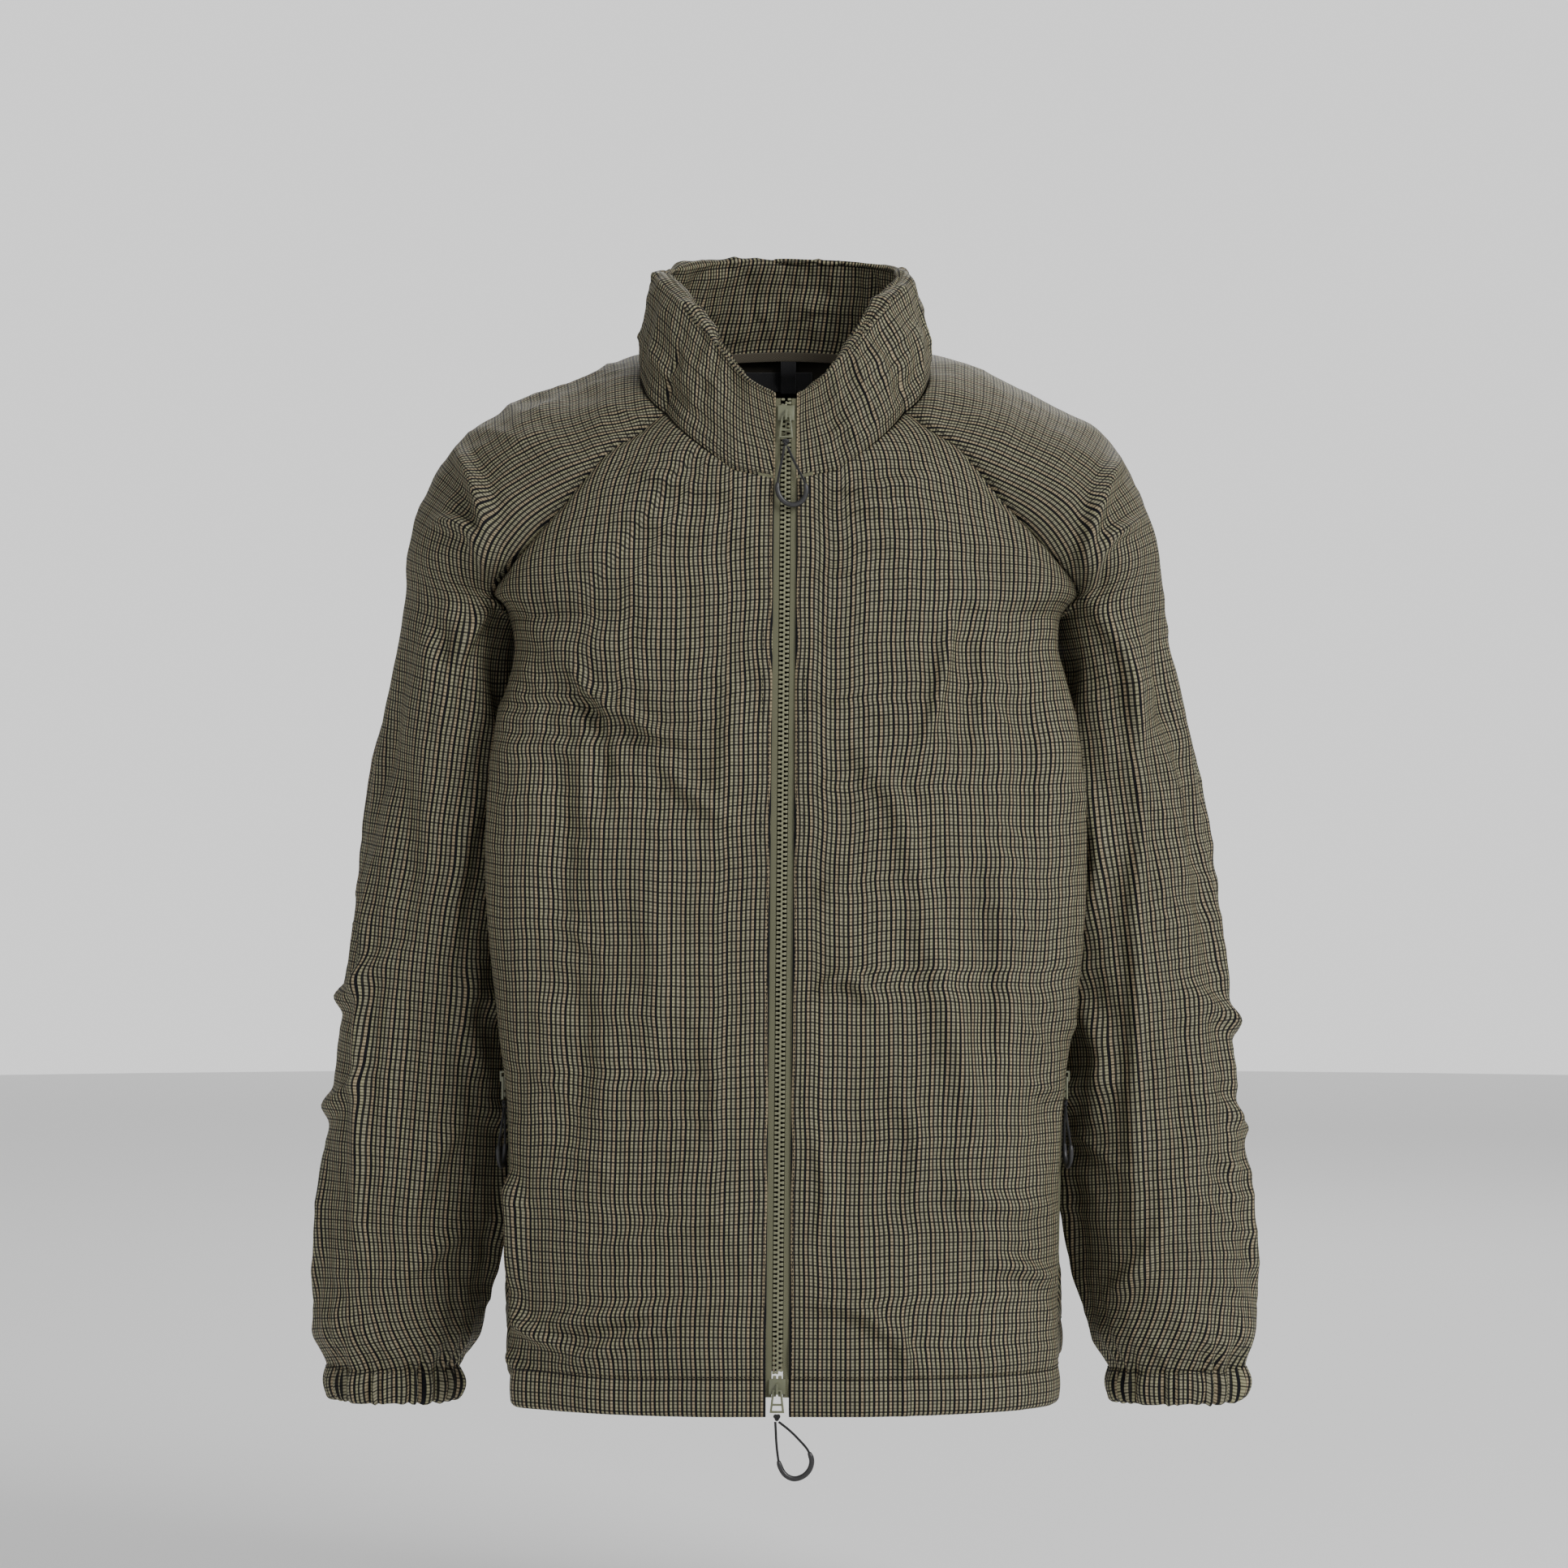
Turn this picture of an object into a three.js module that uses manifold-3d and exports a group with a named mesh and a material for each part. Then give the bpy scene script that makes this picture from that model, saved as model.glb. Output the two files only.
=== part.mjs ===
// Hooded zip jacket with raglan sleeves: shell panels, collar with a stowed hood, cuffs,
// hem casing, a two-way front zip and two zipped side pockets. Millimetres, +Z up,
// the front faces -Y and +X is the wearer's left. Origin: centre of the neck opening.
import * as THREE from "three";
import { mergeVertices } from "three/addons/utils/BufferGeometryUtils.js";
import Module from "manifold-3d";

const wasm = await Module();
wasm.setup();

// ---- driving dimensions ----
const CLOTH = 1.6; // a shell panel with its lining
const SEAM_GAP = 0.5; // left between two panels along a seam
const FIT = 0.3; // clearance between touching pieces
const CHEST_HALF = 203; // half width across the front corners of the chest
const HEM_HALF = 181; // the same at the hem
const BACK_DEPTH = 104; // centre of the neck to the back panel
const ARMPIT_Z = -174;
const HEM_Z = -694;
const HEM_CASING = 24; // height of the folded hem
const FOLD_DEPTH = 6; // between the two walls of a folded casing
const HEM_RISE = 18; // how much the hem rises at the side seams
const NECK_FRONT_Z = -83; // neck seam at the centre front
const NECK_BACK_Z = 14; // neck seam at the centre back
const COLLAR_BACK_Z = 78; // collar rim at the centre back
const COLLAR_PUFF = 13; // between the outer and the inner collar
const SLEEVE_HALF = 61; // half width of the sleeve at the elbow
const SLEEVE_DEPTH = 70; // half depth of the sleeve at the elbow
const CUFF_HALF = 44;
const CUFF_Z = -703; // lowest edge of the cuff
const CUFF_CASING = 24;
const SLEEVE_SPLIT = 0.4; // running gap between the shoulder and the swinging sleeve
const UNDERARM_CLEAR = 6; // the sleeve's inner side stands this far off the side panel
const ELASTIC = 3; // gathered elastic braid in the cuff
const ZIP_TOP = new THREE.Vector3(1, -92, -28); // top end of the front zip
const ZIP_FOOT = new THREE.Vector3(-5, -145, -681); // lower end of the front zip
const ZIP_HALF = 7.5; // shell edge to the middle of the zip
const PLACKET_HALF = 34; // the flat strip of the front beside the zip
const TAPE_HALF = 18;
const TAPE = 0.7;
const CHAIN_SLOT = 1.2; // between the two rows of teeth, for the slider's web
const CHAIN_HALF = 3.3;
const CHAIN_THICK = 2.4;
const TAPE_SINK = 1.45; // tape's mid plane behind the shell's mid plane
const SLIDER_LENGTH = 10;
const SLIDER_HALF = 5.4;
const PLATE = 1.2; // thickness of a slider's plate
const PULL_LENGTH = 15;
const PULL_WIRE = 1.4;
const KNOT_RADIUS = 2.4;
const CORD_RADIUS = 0.8;
const GRIP_BORE = 1.15;
const GRIP_RADIUS = 1.75;
const TOP_SLIDER_DROP = 12; // middle of the top slider below the end of the zip
const BOTTOM_SLIDER_RISE = 7;
const HEM_CORD = 2.8;
const TAB = [4.5, 15]; // width and length of the tab on the hem
const TAB_LAP = 6; // how far the tab overlaps the casing
const POCKET_SINK = 2.7; // pocket bag behind the front panel
const POCKET_TOP_Z = -466;
const POCKET_LENGTH = 156;
const POCKET_TAPE_HALF = 5;
const POCKET_TAPE_LIFT = 1.7; // pocket tape off the side seam, which bends under it
const COIL_HALF = 2.4;
const COIL_THICK = 1.6;

const OLIVE = { color: 0x6b6a55, roughness: 0.8, metalness: 0 };
const CHECK = { color: 0x605b4e, roughness: 0.85, metalness: 0 };
const LINING = { color: 0x4a463c, roughness: 0.85, metalness: 0 };
const BLACK = { color: 0x161617, roughness: 0.6, metalness: 0 };
const PAINTED = { color: 0x5d6049, roughness: 0.4, metalness: 0.3 };

const group = new THREE.Group();
const V = (x, y, z) => new THREE.Vector3(x, y, z);
const range = (n) => Array.from({ length: n }, (_, i) => i);
const mix = (a, b, t) => a + (b - a) * t;
const blend = (p, q, t) => p.clone().lerp(q, t);

function ease(t) {
  const u = Math.min(1, Math.max(0, t));
  return u * u * (3 - 2 * u);
}

// Value of a station table [[t, value], ...] at t, with straight lines between stations.
function station(table, t) {
  let i = 1;
  while (i < table.length - 1 && table[i][0] < t) i += 1;
  const [t0, a] = table[i - 1];
  const [t1, b] = table[i];
  const u = Math.min(1, Math.max(0, (t - t0) / (t1 - t0)));
  return Array.isArray(a) ? a.map((v, k) => mix(v, b[k], u)) : mix(a, b, u);
}

function add(name, geometry, look, parent = group) {
  const mesh = new THREE.Mesh(geometry, new THREE.MeshStandardMaterial(look));
  mesh.name = name;
  parent.add(mesh);
  return mesh;
}

// ---- cloth sheets: grids of points, given a thickness after all normals are known ----
const sheets = [];
const seamNormals = new Map();
const seamKey = (p) => [p.x, p.y, p.z].map((v) => v.toFixed(3)).join();

function gridNormals(rows, wrap) {
  const last = rows.length - 1;
  return rows.map((row, i) =>
    row.map((_, j) => {
      const n = row.length;
      const before = wrap ? row[(j + n - 1) % n] : row[Math.max(0, j - 1)];
      const after = wrap ? row[(j + 1) % n] : row[Math.min(n - 1, j + 1)];
      const up = rows[Math.max(0, i - 1)][j];
      const down = rows[Math.min(last, i + 1)][j];
      return after.clone().sub(before).cross(down.clone().sub(up)).normalize();
    }),
  );
}

// rows: lines of points from top to bottom. inside(i): a point on the inner side of row i.
function sheet(name, rows, inside, options = {}) {
  const { wrap = false, thick = CLOTH, look = CHECK, folded = false, flip = false } = options;
  let normals = gridNormals(rows, wrap);
  let side = 0;
  rows.slice(0, folded ? 1 : rows.length).forEach((row, i) => {
    row.forEach((p, j) => {
      side += normals[i][j].dot(p.clone().sub(inside(i)));
    });
  });
  if (side < 0 !== flip) {
    rows = rows.map((row) => [...row].reverse());
    normals = gridNormals(rows, wrap);
  }
  rows.forEach((row, i) =>
    row.forEach((p, j) => {
      const key = seamKey(p);
      if (!seamNormals.has(key)) seamNormals.set(key, V(0, 0, 0));
      seamNormals.get(key).add(normals[i][j]);
    }),
  );
  sheets.push({ name, rows, wrap, thick, look });
}

// The sheet's points, drawn back from each edge by half the seam gap.
function insetRows(rows, wrap) {
  const back = SEAM_GAP / 2;
  const toward = (p, q) => p.clone().add(q.clone().sub(p).setLength(back));
  const last = rows.length - 1;
  return rows.map((row, i) =>
    row.map((p, j) => {
      const end = row.length - 1;
      let q = p;
      if (i === 0) q = toward(q, rows[1][j]);
      if (i === last) q = toward(q, rows[last - 1][j]);
      if (!wrap && j === 0) q = toward(q, row[1]);
      if (!wrap && j === end) q = toward(q, row[end - 1]);
      return q;
    }),
  );
}

// A closed slab: the grid moved out and in by half its thickness, with a rim.
function slab({ rows, wrap, thick }) {
  const drawn = insetRows(rows, wrap);
  const layers = [0.5, -0.5].map((share) =>
    drawn.map((row, i) =>
      row.map((p, j) => {
        const n = seamNormals.get(seamKey(rows[i][j])).clone().normalize();
        return p.clone().addScaledVector(n, share * thick);
      }),
    ),
  );
  const cols = rows[0].length;
  const positions = layers.flat(2).flatMap((p) => [p.x, p.y, p.z]);
  const at = (layer, i, j) => (layer * rows.length + i) * cols + (j % cols);
  const faces = [];
  const quad = (a, b, c, d) => faces.push(a, b, c, a, c, d);
  const cells = wrap ? cols : cols - 1;
  const end = rows.length - 1;
  range(end).forEach((i) =>
    range(cells).forEach((j) => {
      quad(at(0, i, j), at(0, i, j + 1), at(0, i + 1, j + 1), at(0, i + 1, j));
      quad(at(1, i, j), at(1, i + 1, j), at(1, i + 1, j + 1), at(1, i, j + 1));
    }),
  );
  range(cells).forEach((j) => {
    quad(at(0, 0, j), at(1, 0, j), at(1, 0, j + 1), at(0, 0, j + 1));
    quad(at(0, end, j), at(0, end, j + 1), at(1, end, j + 1), at(1, end, j));
  });
  if (!wrap) {
    range(end).forEach((i) => {
      quad(at(0, i, 0), at(0, i + 1, 0), at(1, i + 1, 0), at(1, i, 0));
      quad(at(0, i, cells), at(1, i, cells), at(1, i + 1, cells), at(0, i + 1, cells));
    });
  }
  const geometry = new THREE.BufferGeometry();
  geometry.setAttribute("position", new THREE.Float32BufferAttribute(positions, 3));
  geometry.setIndex(faces);
  return geometry;
}

// ---- the zip line and the seams ----
const zipPoint = (z) => blend(ZIP_TOP, ZIP_FOOT, (ZIP_TOP.z - z) / (ZIP_TOP.z - ZIP_FOOT.z));
const torsoCentre = (row) => V(0, 0, row[Math.floor(row.length / 2)].z);

// Front raglan seam, back raglan seam, shoulder line and how far the sleeve has closed
// under the arm (degrees), from the neck to the armpit, for the wearer's left side.
const RAGLAN = [
  { front: [80, -60, -37], back: [62, 60, 9], top: [96, 3, 1], close: 0 },
  { front: [97, -67, -51], back: [79, 72, 1], top: [122, 4, -3], close: 0 },
  { front: [112, -71, -59], back: [96, 81, -14], top: [150, 6, -13], close: 0 },
  { front: [128, -73, -76], back: [113, 87, -35], top: [180, 8, -25], close: 5 },
  { front: [146, -72, -98], back: [131, 88, -62], top: [207, 11, -39], close: 10 },
  { front: [165, -68, -119], back: [148, 86, -92], top: [228, 14, -60], close: 18 },
  { front: [183, -57, -139], back: [163, 79, -122], top: [242, 17, -88], close: 30 },
  { front: [195, -36, -156], back: [175, 64, -149], top: [251, 20, -123], close: 50 },
];
const UNDERARM = { inner: [CHEST_HALF - 28.5, 22, ARMPIT_Z], top: [258, 24, -160], half: 70, close: 80 };
const SHOULDER_COLUMNS = 8;
const RING = 14;

// Centre, half-depth vector and outward vector of the ellipse that a shoulder row follows.
function shoulderEllipse({ front, back, top, close }) {
  const a = THREE.MathUtils.degToRad(close);
  const [f, b, t] = [V(...front), V(...back), V(...top)];
  const out = t.clone().sub(blend(f, b, 0.5)).divideScalar(1 + Math.sin(a));
  const depth = f.clone().sub(b).divideScalar(2 * Math.cos(a));
  return { centre: t.clone().sub(out), out, depth, a };
}

function underarmEllipse() {
  const [inner, top] = [V(...UNDERARM.inner), V(...UNDERARM.top)];
  const out = top.clone().sub(inner).multiplyScalar(0.5);
  const a = THREE.MathUtils.degToRad(UNDERARM.close);
  return { centre: blend(inner, top, 0.5), out, depth: V(0, -UNDERARM.half, 0), a };
}

const onEllipse = ({ centre, out, depth }, phi) =>
  centre.clone().addScaledVector(depth, Math.cos(phi)).addScaledVector(out, Math.sin(phi));

const ELLIPSES = [...RAGLAN.map(shoulderEllipse), underarmEllipse()];
const shoulderRow = (e) =>
  range(SHOULDER_COLUMNS + 1).map((j) =>
    onEllipse(e, mix(-e.a, Math.PI + e.a, j / SHOULDER_COLUMNS)),
  );
const SHOULDER_ROWS = ELLIPSES.map(shoulderRow);

// Torso below the armpit, by the share of the way from the armpit to the hem.
const FRONT_SEAM = [
  [0.05, [0.897, -27]],
  [0.14, [0.945, -36]],
  [0.26, [0.955, -36]],
  [0.55, [0.965, -38]],
  [1, [0.985, -46]],
];
const SIDE_MIDDLE = [
  [0.05, [168, 14]],
  [0.14, [157, 22]],
  [0.26, [157, 22]],
  [0.55, [168, 18]],
  [0.8, [178, 14]],
  [1, [188, 8]],
];
const BACK_SEAM = [
  [0.05, [166, 46]],
  [0.14, [155, 66]],
  [0.26, [150, 72]],
  [0.55, [157, 70]],
  [0.8, [170, 66]],
  [1, [186, 60]],
];
const TORSO_SHARES = [0.05, 0.14, 0.26, 0.4, 0.54, 0.67, 0.8, 0.91, 1];
const SIDE_COLUMNS = 4;
const cornerHalf = (t) => mix(CHEST_HALF, HEM_HALF, ease((t - 0.3) / 0.45));
const panelZ = (t) => mix(ARMPIT_Z, HEM_Z + HEM_CASING, t);

function frontSeam(t) {
  const [share, y] = station(FRONT_SEAM, t);
  return V(share * cornerHalf(t), y, panelZ(t));
}

const sideRise = (t) => HEM_RISE * t ** 4;
const chestStretch = CHEST_HALF / 203;
const hemStretch = (t) => mix(chestStretch, HEM_HALF / 181, t);

function backSeam(t) {
  const [x, y] = station(BACK_SEAM, t);
  return V(x * hemStretch(t), y * (BACK_DEPTH / 104), panelZ(t) + sideRise(t));
}

// One row of the side panel: a parabola through the seam points and a pinched middle.
function sideRow(t) {
  const [x, y] = station(SIDE_MIDDLE, t);
  const [from, to] = [frontSeam(t), backSeam(t)];
  const middle = V(x * hemStretch(t), y, panelZ(t) + sideRise(t));
  const pull = middle.clone().multiplyScalar(2).sub(blend(from, to, 0.5));
  return range(SIDE_COLUMNS + 1).map((j) => {
    const u = j / SIDE_COLUMNS;
    return blend(blend(from, pull, u), blend(pull, to, u), u);
  });
}

const armpitArc = () => {
  const e = ELLIPSES.at(-1);
  return range(SIDE_COLUMNS + 1).map((j) =>
    onEllipse(e, -mix(e.a, Math.PI - e.a, j / SIDE_COLUMNS)),
  );
};
const SIDE_ROWS = [armpitArc(), ...TORSO_SHARES.map(sideRow)];

// ---- front, back and side panels ----
const FRONT_COLUMNS = 6;
const BACK_COLUMNS = 5;
const NECK_ROWS = SHOULDER_ROWS.length;

const mirror = (rows) => rows.map((row) => row.map((p) => V(-p.x, p.y, p.z)));

// Where the front panel's outer edge lies: down the raglan seam, then the side seam.
const FRONT_EDGE = [...SHOULDER_ROWS.map((row) => row[0]), ...SIDE_ROWS.slice(1).map((r) => r[0])];
const BACK_EDGE = [
  ...SHOULDER_ROWS.map((row) => row.at(-1)),
  ...SIDE_ROWS.slice(1).map((row) => row.at(-1)),
];

// A front row: flat beside the zip, then an arc that turns back to the outer edge.
function frontRow(i, side, inset = 0) {
  const edge = FRONT_EDGE[i];
  const z = i < NECK_ROWS ? mix(NECK_FRONT_Z, ARMPIT_Z, (i / (NECK_ROWS - 1)) ** 1.1) : edge.z;
  const lift = i < NECK_ROWS ? (edge.z - z) * 0.12 : 0;
  const zip = zipPoint(z);
  const flat = zipPoint(z + lift);
  const turn = THREE.MathUtils.degToRad(station([[0, 62], [8, 96], [10, 108], [17, 100]], i));
  const start = V(flat.x + side * PLACKET_HALF, flat.y, z + lift);
  const outer = V(side * edge.x, edge.y, edge.z);
  const points = [V(zip.x + side * ZIP_HALF, zip.y, z), start];
  range(FRONT_COLUMNS - 1).forEach((j) => {
    const u = (j + 1) / (FRONT_COLUMNS - 1);
    const across = Math.sin(u * turn) / Math.sin(turn);
    const back = (1 - Math.cos(u * turn)) / (1 - Math.cos(turn));
    const x = mix(start.x, outer.x, across);
    points.push(V(x, mix(start.y, outer.y, back), mix(start.z, outer.z, u)));
  });
  return points.map((p) => V(p.x, p.y + inset, p.z));
}

const FRONT_ROWS = { 1: [], "-1": [] };
[1, -1].forEach((side) => {
  FRONT_ROWS[side] = range(FRONT_EDGE.length).map((i) => frontRow(i, side));
});

const BACK_CENTRE = [[0, 0.74], [4, 0.93], [8, 0.99], [11, 1], [17, 0.95]];

// Half of a back row, from the centre to the back edge.
function backHalf(i) {
  const edge = BACK_EDGE[i];
  const down = (i / (NECK_ROWS - 1)) ** 1.15;
  const z = i < NECK_ROWS ? mix(NECK_BACK_Z, ARMPIT_Z, down) : panelZ(TORSO_SHARES[i - NECK_ROWS]);
  const turn = THREE.MathUtils.degToRad(station([[0, 70], [8, 62], [17, 84]], i));
  const y = BACK_DEPTH * station(BACK_CENTRE, i);
  return range(BACK_COLUMNS + 1).map((j) => {
    const u = j / BACK_COLUMNS;
    const across = Math.sin(u * turn) / Math.sin(turn);
    const back = (1 - Math.cos(u * turn)) / (1 - Math.cos(turn));
    return V(edge.x * across, mix(y, edge.y, back), mix(z, edge.z, u ** 1.6));
  });
}

const BACK_ROWS = range(BACK_EDGE.length).map((i) => {
  const half = backHalf(i);
  const other = half.slice(1).map((p) => V(-p.x, p.y, p.z));
  return [...other.reverse(), ...half];
});

const names = [
  ["left", 1],
  ["right", -1],
];

function addTorso() {
  names.forEach(([word, side]) => {
    const rows = FRONT_ROWS[side];
    sheet(`front_panel_${word}`, rows, (i) => torsoCentre(rows[i]));
    const flank = side > 0 ? SIDE_ROWS : mirror(SIDE_ROWS);
    sheet(`side_panel_${word}`, flank, (i) => torsoCentre(flank[i]));
  });
  sheet("back_panel", BACK_ROWS, (i) => torsoCentre(BACK_ROWS[i]));
}

// ---- raglan shoulders, sleeves and cuffs ----
const SLEEVE_SHARES = [0.07, 0.16, 0.28, 0.42, 0.56, 0.7, 0.82, 0.91, 1];
const SLEEVE_LINE = [
  [0.07, [223, 25]],
  [0.16, [223, 31]],
  [0.28, [227, 32]],
  [0.42, [235, 31]],
  [0.56, [242.5, 30]],
  [0.7, [249, 28]],
  [0.82, [254, 25]],
  [0.91, [261.5, 21]],
  [1, [267.5, 17]],
];
const SLEEVE_WIDTH = [
  [0.07, 0.72],
  [0.16, 0.88],
  [0.28, 0.95],
  [0.42, 0.99],
  [0.7, 1.02],
  [0.82, 1.03],
  [0.91, 0.93],
];
const SLEEVE_DEPTHS = [[0.07, 1], [0.42, 1], [0.7, 0.92], [0.82, 0.87], [0.91, 0.78]];
const casingTop = CUFF_Z + CUFF_CASING;
const sleeveZ = (t) => mix(ARMPIT_Z, casingTop, t);

function ring(centre, half, depth, z) {
  return range(RING).map((j) => {
    const phi = (2 * Math.PI * j) / RING;
    return V(centre[0] + half * Math.sin(phi), centre[1] - depth * Math.cos(phi), z);
  });
}

function sleeveRow(t) {
  const last = t >= 1;
  const half = last ? CUFF_HALF : SLEEVE_HALF * station(SLEEVE_WIDTH, t);
  const depth = last ? CUFF_HALF * 0.95 : SLEEVE_DEPTH * station(SLEEVE_DEPTHS, t);
  return ring(station(SLEEVE_LINE, t), half, depth, sleeveZ(t));
}

// The ring just below the shoulder, moved down by the running gap.
const sleeveTop = range(RING).map((j) => {
  const phi = (2 * Math.PI * j) / RING;
  const clear = UNDERARM_CLEAR * (1 - Math.sin(phi)) * 0.5;
  return onEllipse(ELLIPSES.at(-1), phi).add(V(clear, 0, -SLEEVE_SPLIT));
});

// A casing folded from cloth: down the outside, round the edge and up the inside.
function foldedRows(edge, inward, height, lean = () => 0) {
  const steps = [[0, 0], [height - 3, 0], [height, 0.5], [height - 3, 1], [2, 1]];
  return steps.map(([down, share]) =>
    edge.map((p, j) => {
      const drop = V(0, -down * lean(j), -down);
      return p.clone().addScaledVector(inward(j), share * FOLD_DEPTH).add(drop);
    }),
  );
}

const middle = (row) => row.reduce((sum, p) => sum.add(p), V(0, 0, 0)).divideScalar(row.length);

function ringInward(row) {
  const centre = middle(row);
  return (j) => centre.clone().sub(row[j]).setZ(0).normalize();
}

function addSleeve(word, side) {
  const flip = (rows) => (side > 0 ? rows : mirror(rows));
  const shoulder = flip(SHOULDER_ROWS);
  const centres = ELLIPSES.map((e) => V(side * e.centre.x, e.centre.y, e.centre.z));
  sheet(`shoulder_${word}`, shoulder, (i) => centres[i]);
  const arm = flip([sleeveTop, ...SLEEVE_SHARES.map(sleeveRow)]);
  sheet(`sleeve_${word}`, arm, (i) => middle(arm[i]), { wrap: true });
  const edge = arm.at(-1);
  const inward = ringInward(edge);
  const cuff = foldedRows(edge, inward, CUFF_CASING);
  sheet(`cuff_${word}`, cuff, (i) => middle(cuff[i]), { wrap: true, folded: true });
  const band = [4, CUFF_CASING - 6].map((down) =>
    edge.map((p, j) => p.clone().addScaledVector(inward(j), FOLD_DEPTH / 2).setZ(p.z - down)),
  );
  const options = { wrap: true, thick: ELASTIC, look: BLACK };
  sheet(`cuff_elastic_${word}`, band, (i) => middle(band[i]), options);
}

// ---- hem casings ----
function hemInward(row) {
  return row.map((p, j) => {
    const along = row[Math.min(row.length - 1, j + 1)].clone().sub(row[Math.max(0, j - 1)]);
    const n = V(-along.y, along.x, 0).normalize();
    return n.dot(V(-p.x, -p.y, 0)) < 0 ? n.negate() : n;
  });
}

// The hem's top edge, from the wearer's left front corner round the back to the right.
const hemBackEdge = () => {
  const flank = SIDE_ROWS.at(-1);
  const [other] = mirror([flank]);
  return [...flank, ...[...BACK_ROWS.at(-1)].reverse().slice(1, -1), ...[...other].reverse()];
};

// Beside the zip a front casing leans with it, and at its other end it hangs straight.
const leanAt = (j, edge, slope) => slope * Math.min(1, 1.4 * (1 - j / (edge.length - 1)));
const zipSlope = (ZIP_TOP.y - ZIP_FOOT.y) / (ZIP_TOP.z - ZIP_FOOT.z);

function hemSheet(name, edge, slope = 0) {
  const inward = hemInward(edge);
  const rows = foldedRows(edge, (j) => inward[j], HEM_CASING, (j) => leanAt(j, edge, slope));
  sheet(name, rows, () => V(0, 0, edge[0].z), { folded: true });
}

function addHem() {
  names.forEach(([word, side]) => hemSheet(`hem_front_${word}`, FRONT_ROWS[side].at(-1), zipSlope));
  hemSheet("hem_back", hemBackEdge());
}

// A closed solid through a list of rings with the same number of points.
function loft(rings) {
  const sides = rings[0].length;
  const positions = [...rings.flat(), middle(rings[0]), middle(rings.at(-1))];
  const end = rings.length - 1;
  const at = (i, j) => i * sides + (j % sides);
  const [first, last] = [rings.length * sides, rings.length * sides + 1];
  const faces = [];
  range(sides).forEach((j) => {
    faces.push(first, at(0, j + 1), at(0, j), last, at(end, j), at(end, j + 1));
    range(end).forEach((i) => {
      faces.push(at(i, j), at(i, j + 1), at(i + 1, j + 1));
      faces.push(at(i, j), at(i + 1, j + 1), at(i + 1, j));
    });
  });
  const geometry = new THREE.BufferGeometry();
  geometry.setAttribute("position", new THREE.Float32BufferAttribute(positions.flatMap((p) => [...p]), 3));
  geometry.setIndex(faces);
  return geometry;
}

// An ellipse about a point, in the plane of two half-axis vectors.
const ovalAt = (centre, a, b, sides) =>
  range(sides).map((k) => {
    const phi = (2 * Math.PI * k) / sides;
    return centre.clone().addScaledVector(a, Math.cos(phi)).addScaledVector(b, Math.sin(phi));
  });

// The drawcord lies in the lane between the walls of the hem casing.
function addHemCord() {
  const half = HEM_CASING / 2;
  const laneOf = (edge, slope = 0) => {
    const inward = hemInward(edge);
    return edge.map((p, j) => {
      const drop = V(0, -half * leanAt(j, edge, slope), -half);
      return p.clone().addScaledVector(inward[j], FOLD_DEPTH / 2).add(drop);
    });
  };
  const front = (side) => laneOf(FRONT_ROWS[side].at(-1), zipSlope).slice(2, -1);
  const lane = [...front(1), ...laneOf(hemBackEdge()), ...front(-1).reverse()];
  const inward = hemInward(lane);
  const rings = lane.map((p, j) =>
    ovalAt(p, inward[j].clone().setLength(HEM_CORD / 2), V(0, 0, HEM_CORD / 2), 8),
  );
  add("hem_drawcord", loft(rings), BLACK);
  const tab = new THREE.BoxGeometry(2, TAB[0], TAB[1]);
  const at = mirror([SIDE_ROWS.at(-1)])[0][SIDE_COLUMNS];
  tab.translate(at.x - CLOTH / 2 - FIT - 1.8, at.y - 6, at.z - HEM_CASING + TAB_LAP - TAB[1] / 2);
  add("hem_cord_tab", tab, BLACK);
}

// ---- collar ----
// Rim of the outer collar by the share of the way from the zip to the centre back.
const RIM = [
  [0.1, [24, -90, -17]],
  [0.22, [46, -77, 8]],
  [0.36, [70, -50, 38]],
  [0.5, [86, -14, 57]],
  [0.65, [86, 22, 66]],
  [0.82, [58, 58, 74]],
  [1, [0, 74, 78]],
];
const RIM_FRONT_Z = -27;
const RIM_ROUND = 3;

// Half of the neck seam: front panel, shoulder and back panel, and the share along it.
function neckHalf(side) {
  const front = FRONT_ROWS[side][0];
  const shoulder = side > 0 ? SHOULDER_ROWS[0] : mirror(SHOULDER_ROWS)[0];
  const back = backHalf(0).reverse().map((p) => V(side * p.x, p.y, p.z));
  const points = [...front, ...shoulder.slice(1), ...back.slice(1)];
  let run = 0;
  const runs = points.map((p, i) => (run += i ? p.distanceTo(points[i - 1]) : 0));
  return points.map((p, i) => ({ p, share: runs[i] / run, side, first: i < 2 }));
}

function rimPoint({ p, share, side, first }) {
  if (share === 0) return V(p.x, zipPoint(RIM_FRONT_Z).y, RIM_FRONT_Z);
  const start = [ZIP_HALF, zipPoint(RIM_FRONT_Z).y, RIM_FRONT_Z];
  const [x, y, z] = station([[0, start], ...RIM], share);
  const lift = z + (COLLAR_BACK_Z - 78) * share;
  return V(side * x, first ? zipPoint(z).y : y, lift);
}

// A point of the collar: up the height by v, and in from the outer face by depth 0 to 1.
function collarPoint(post, v, depth) {
  const rim = rimPoint(post);
  const fullness = ease((post.share - 0.08) / 0.25);
  const gap = mix(2 * TAPE_SINK, COLLAR_PUFF, fullness * ease(v / 0.55));
  const inward = V(-post.p.x, -post.p.y, 0).normalize();
  const bulge = 5 * fullness * Math.sin(Math.PI * v);
  const p = blend(post.p, rim, v).addScaledVector(inward, depth * gap - bulge);
  return p.add(V(0, 0, depth > 0 && depth < 1 ? RIM_ROUND * fullness : 0));
}

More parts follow.
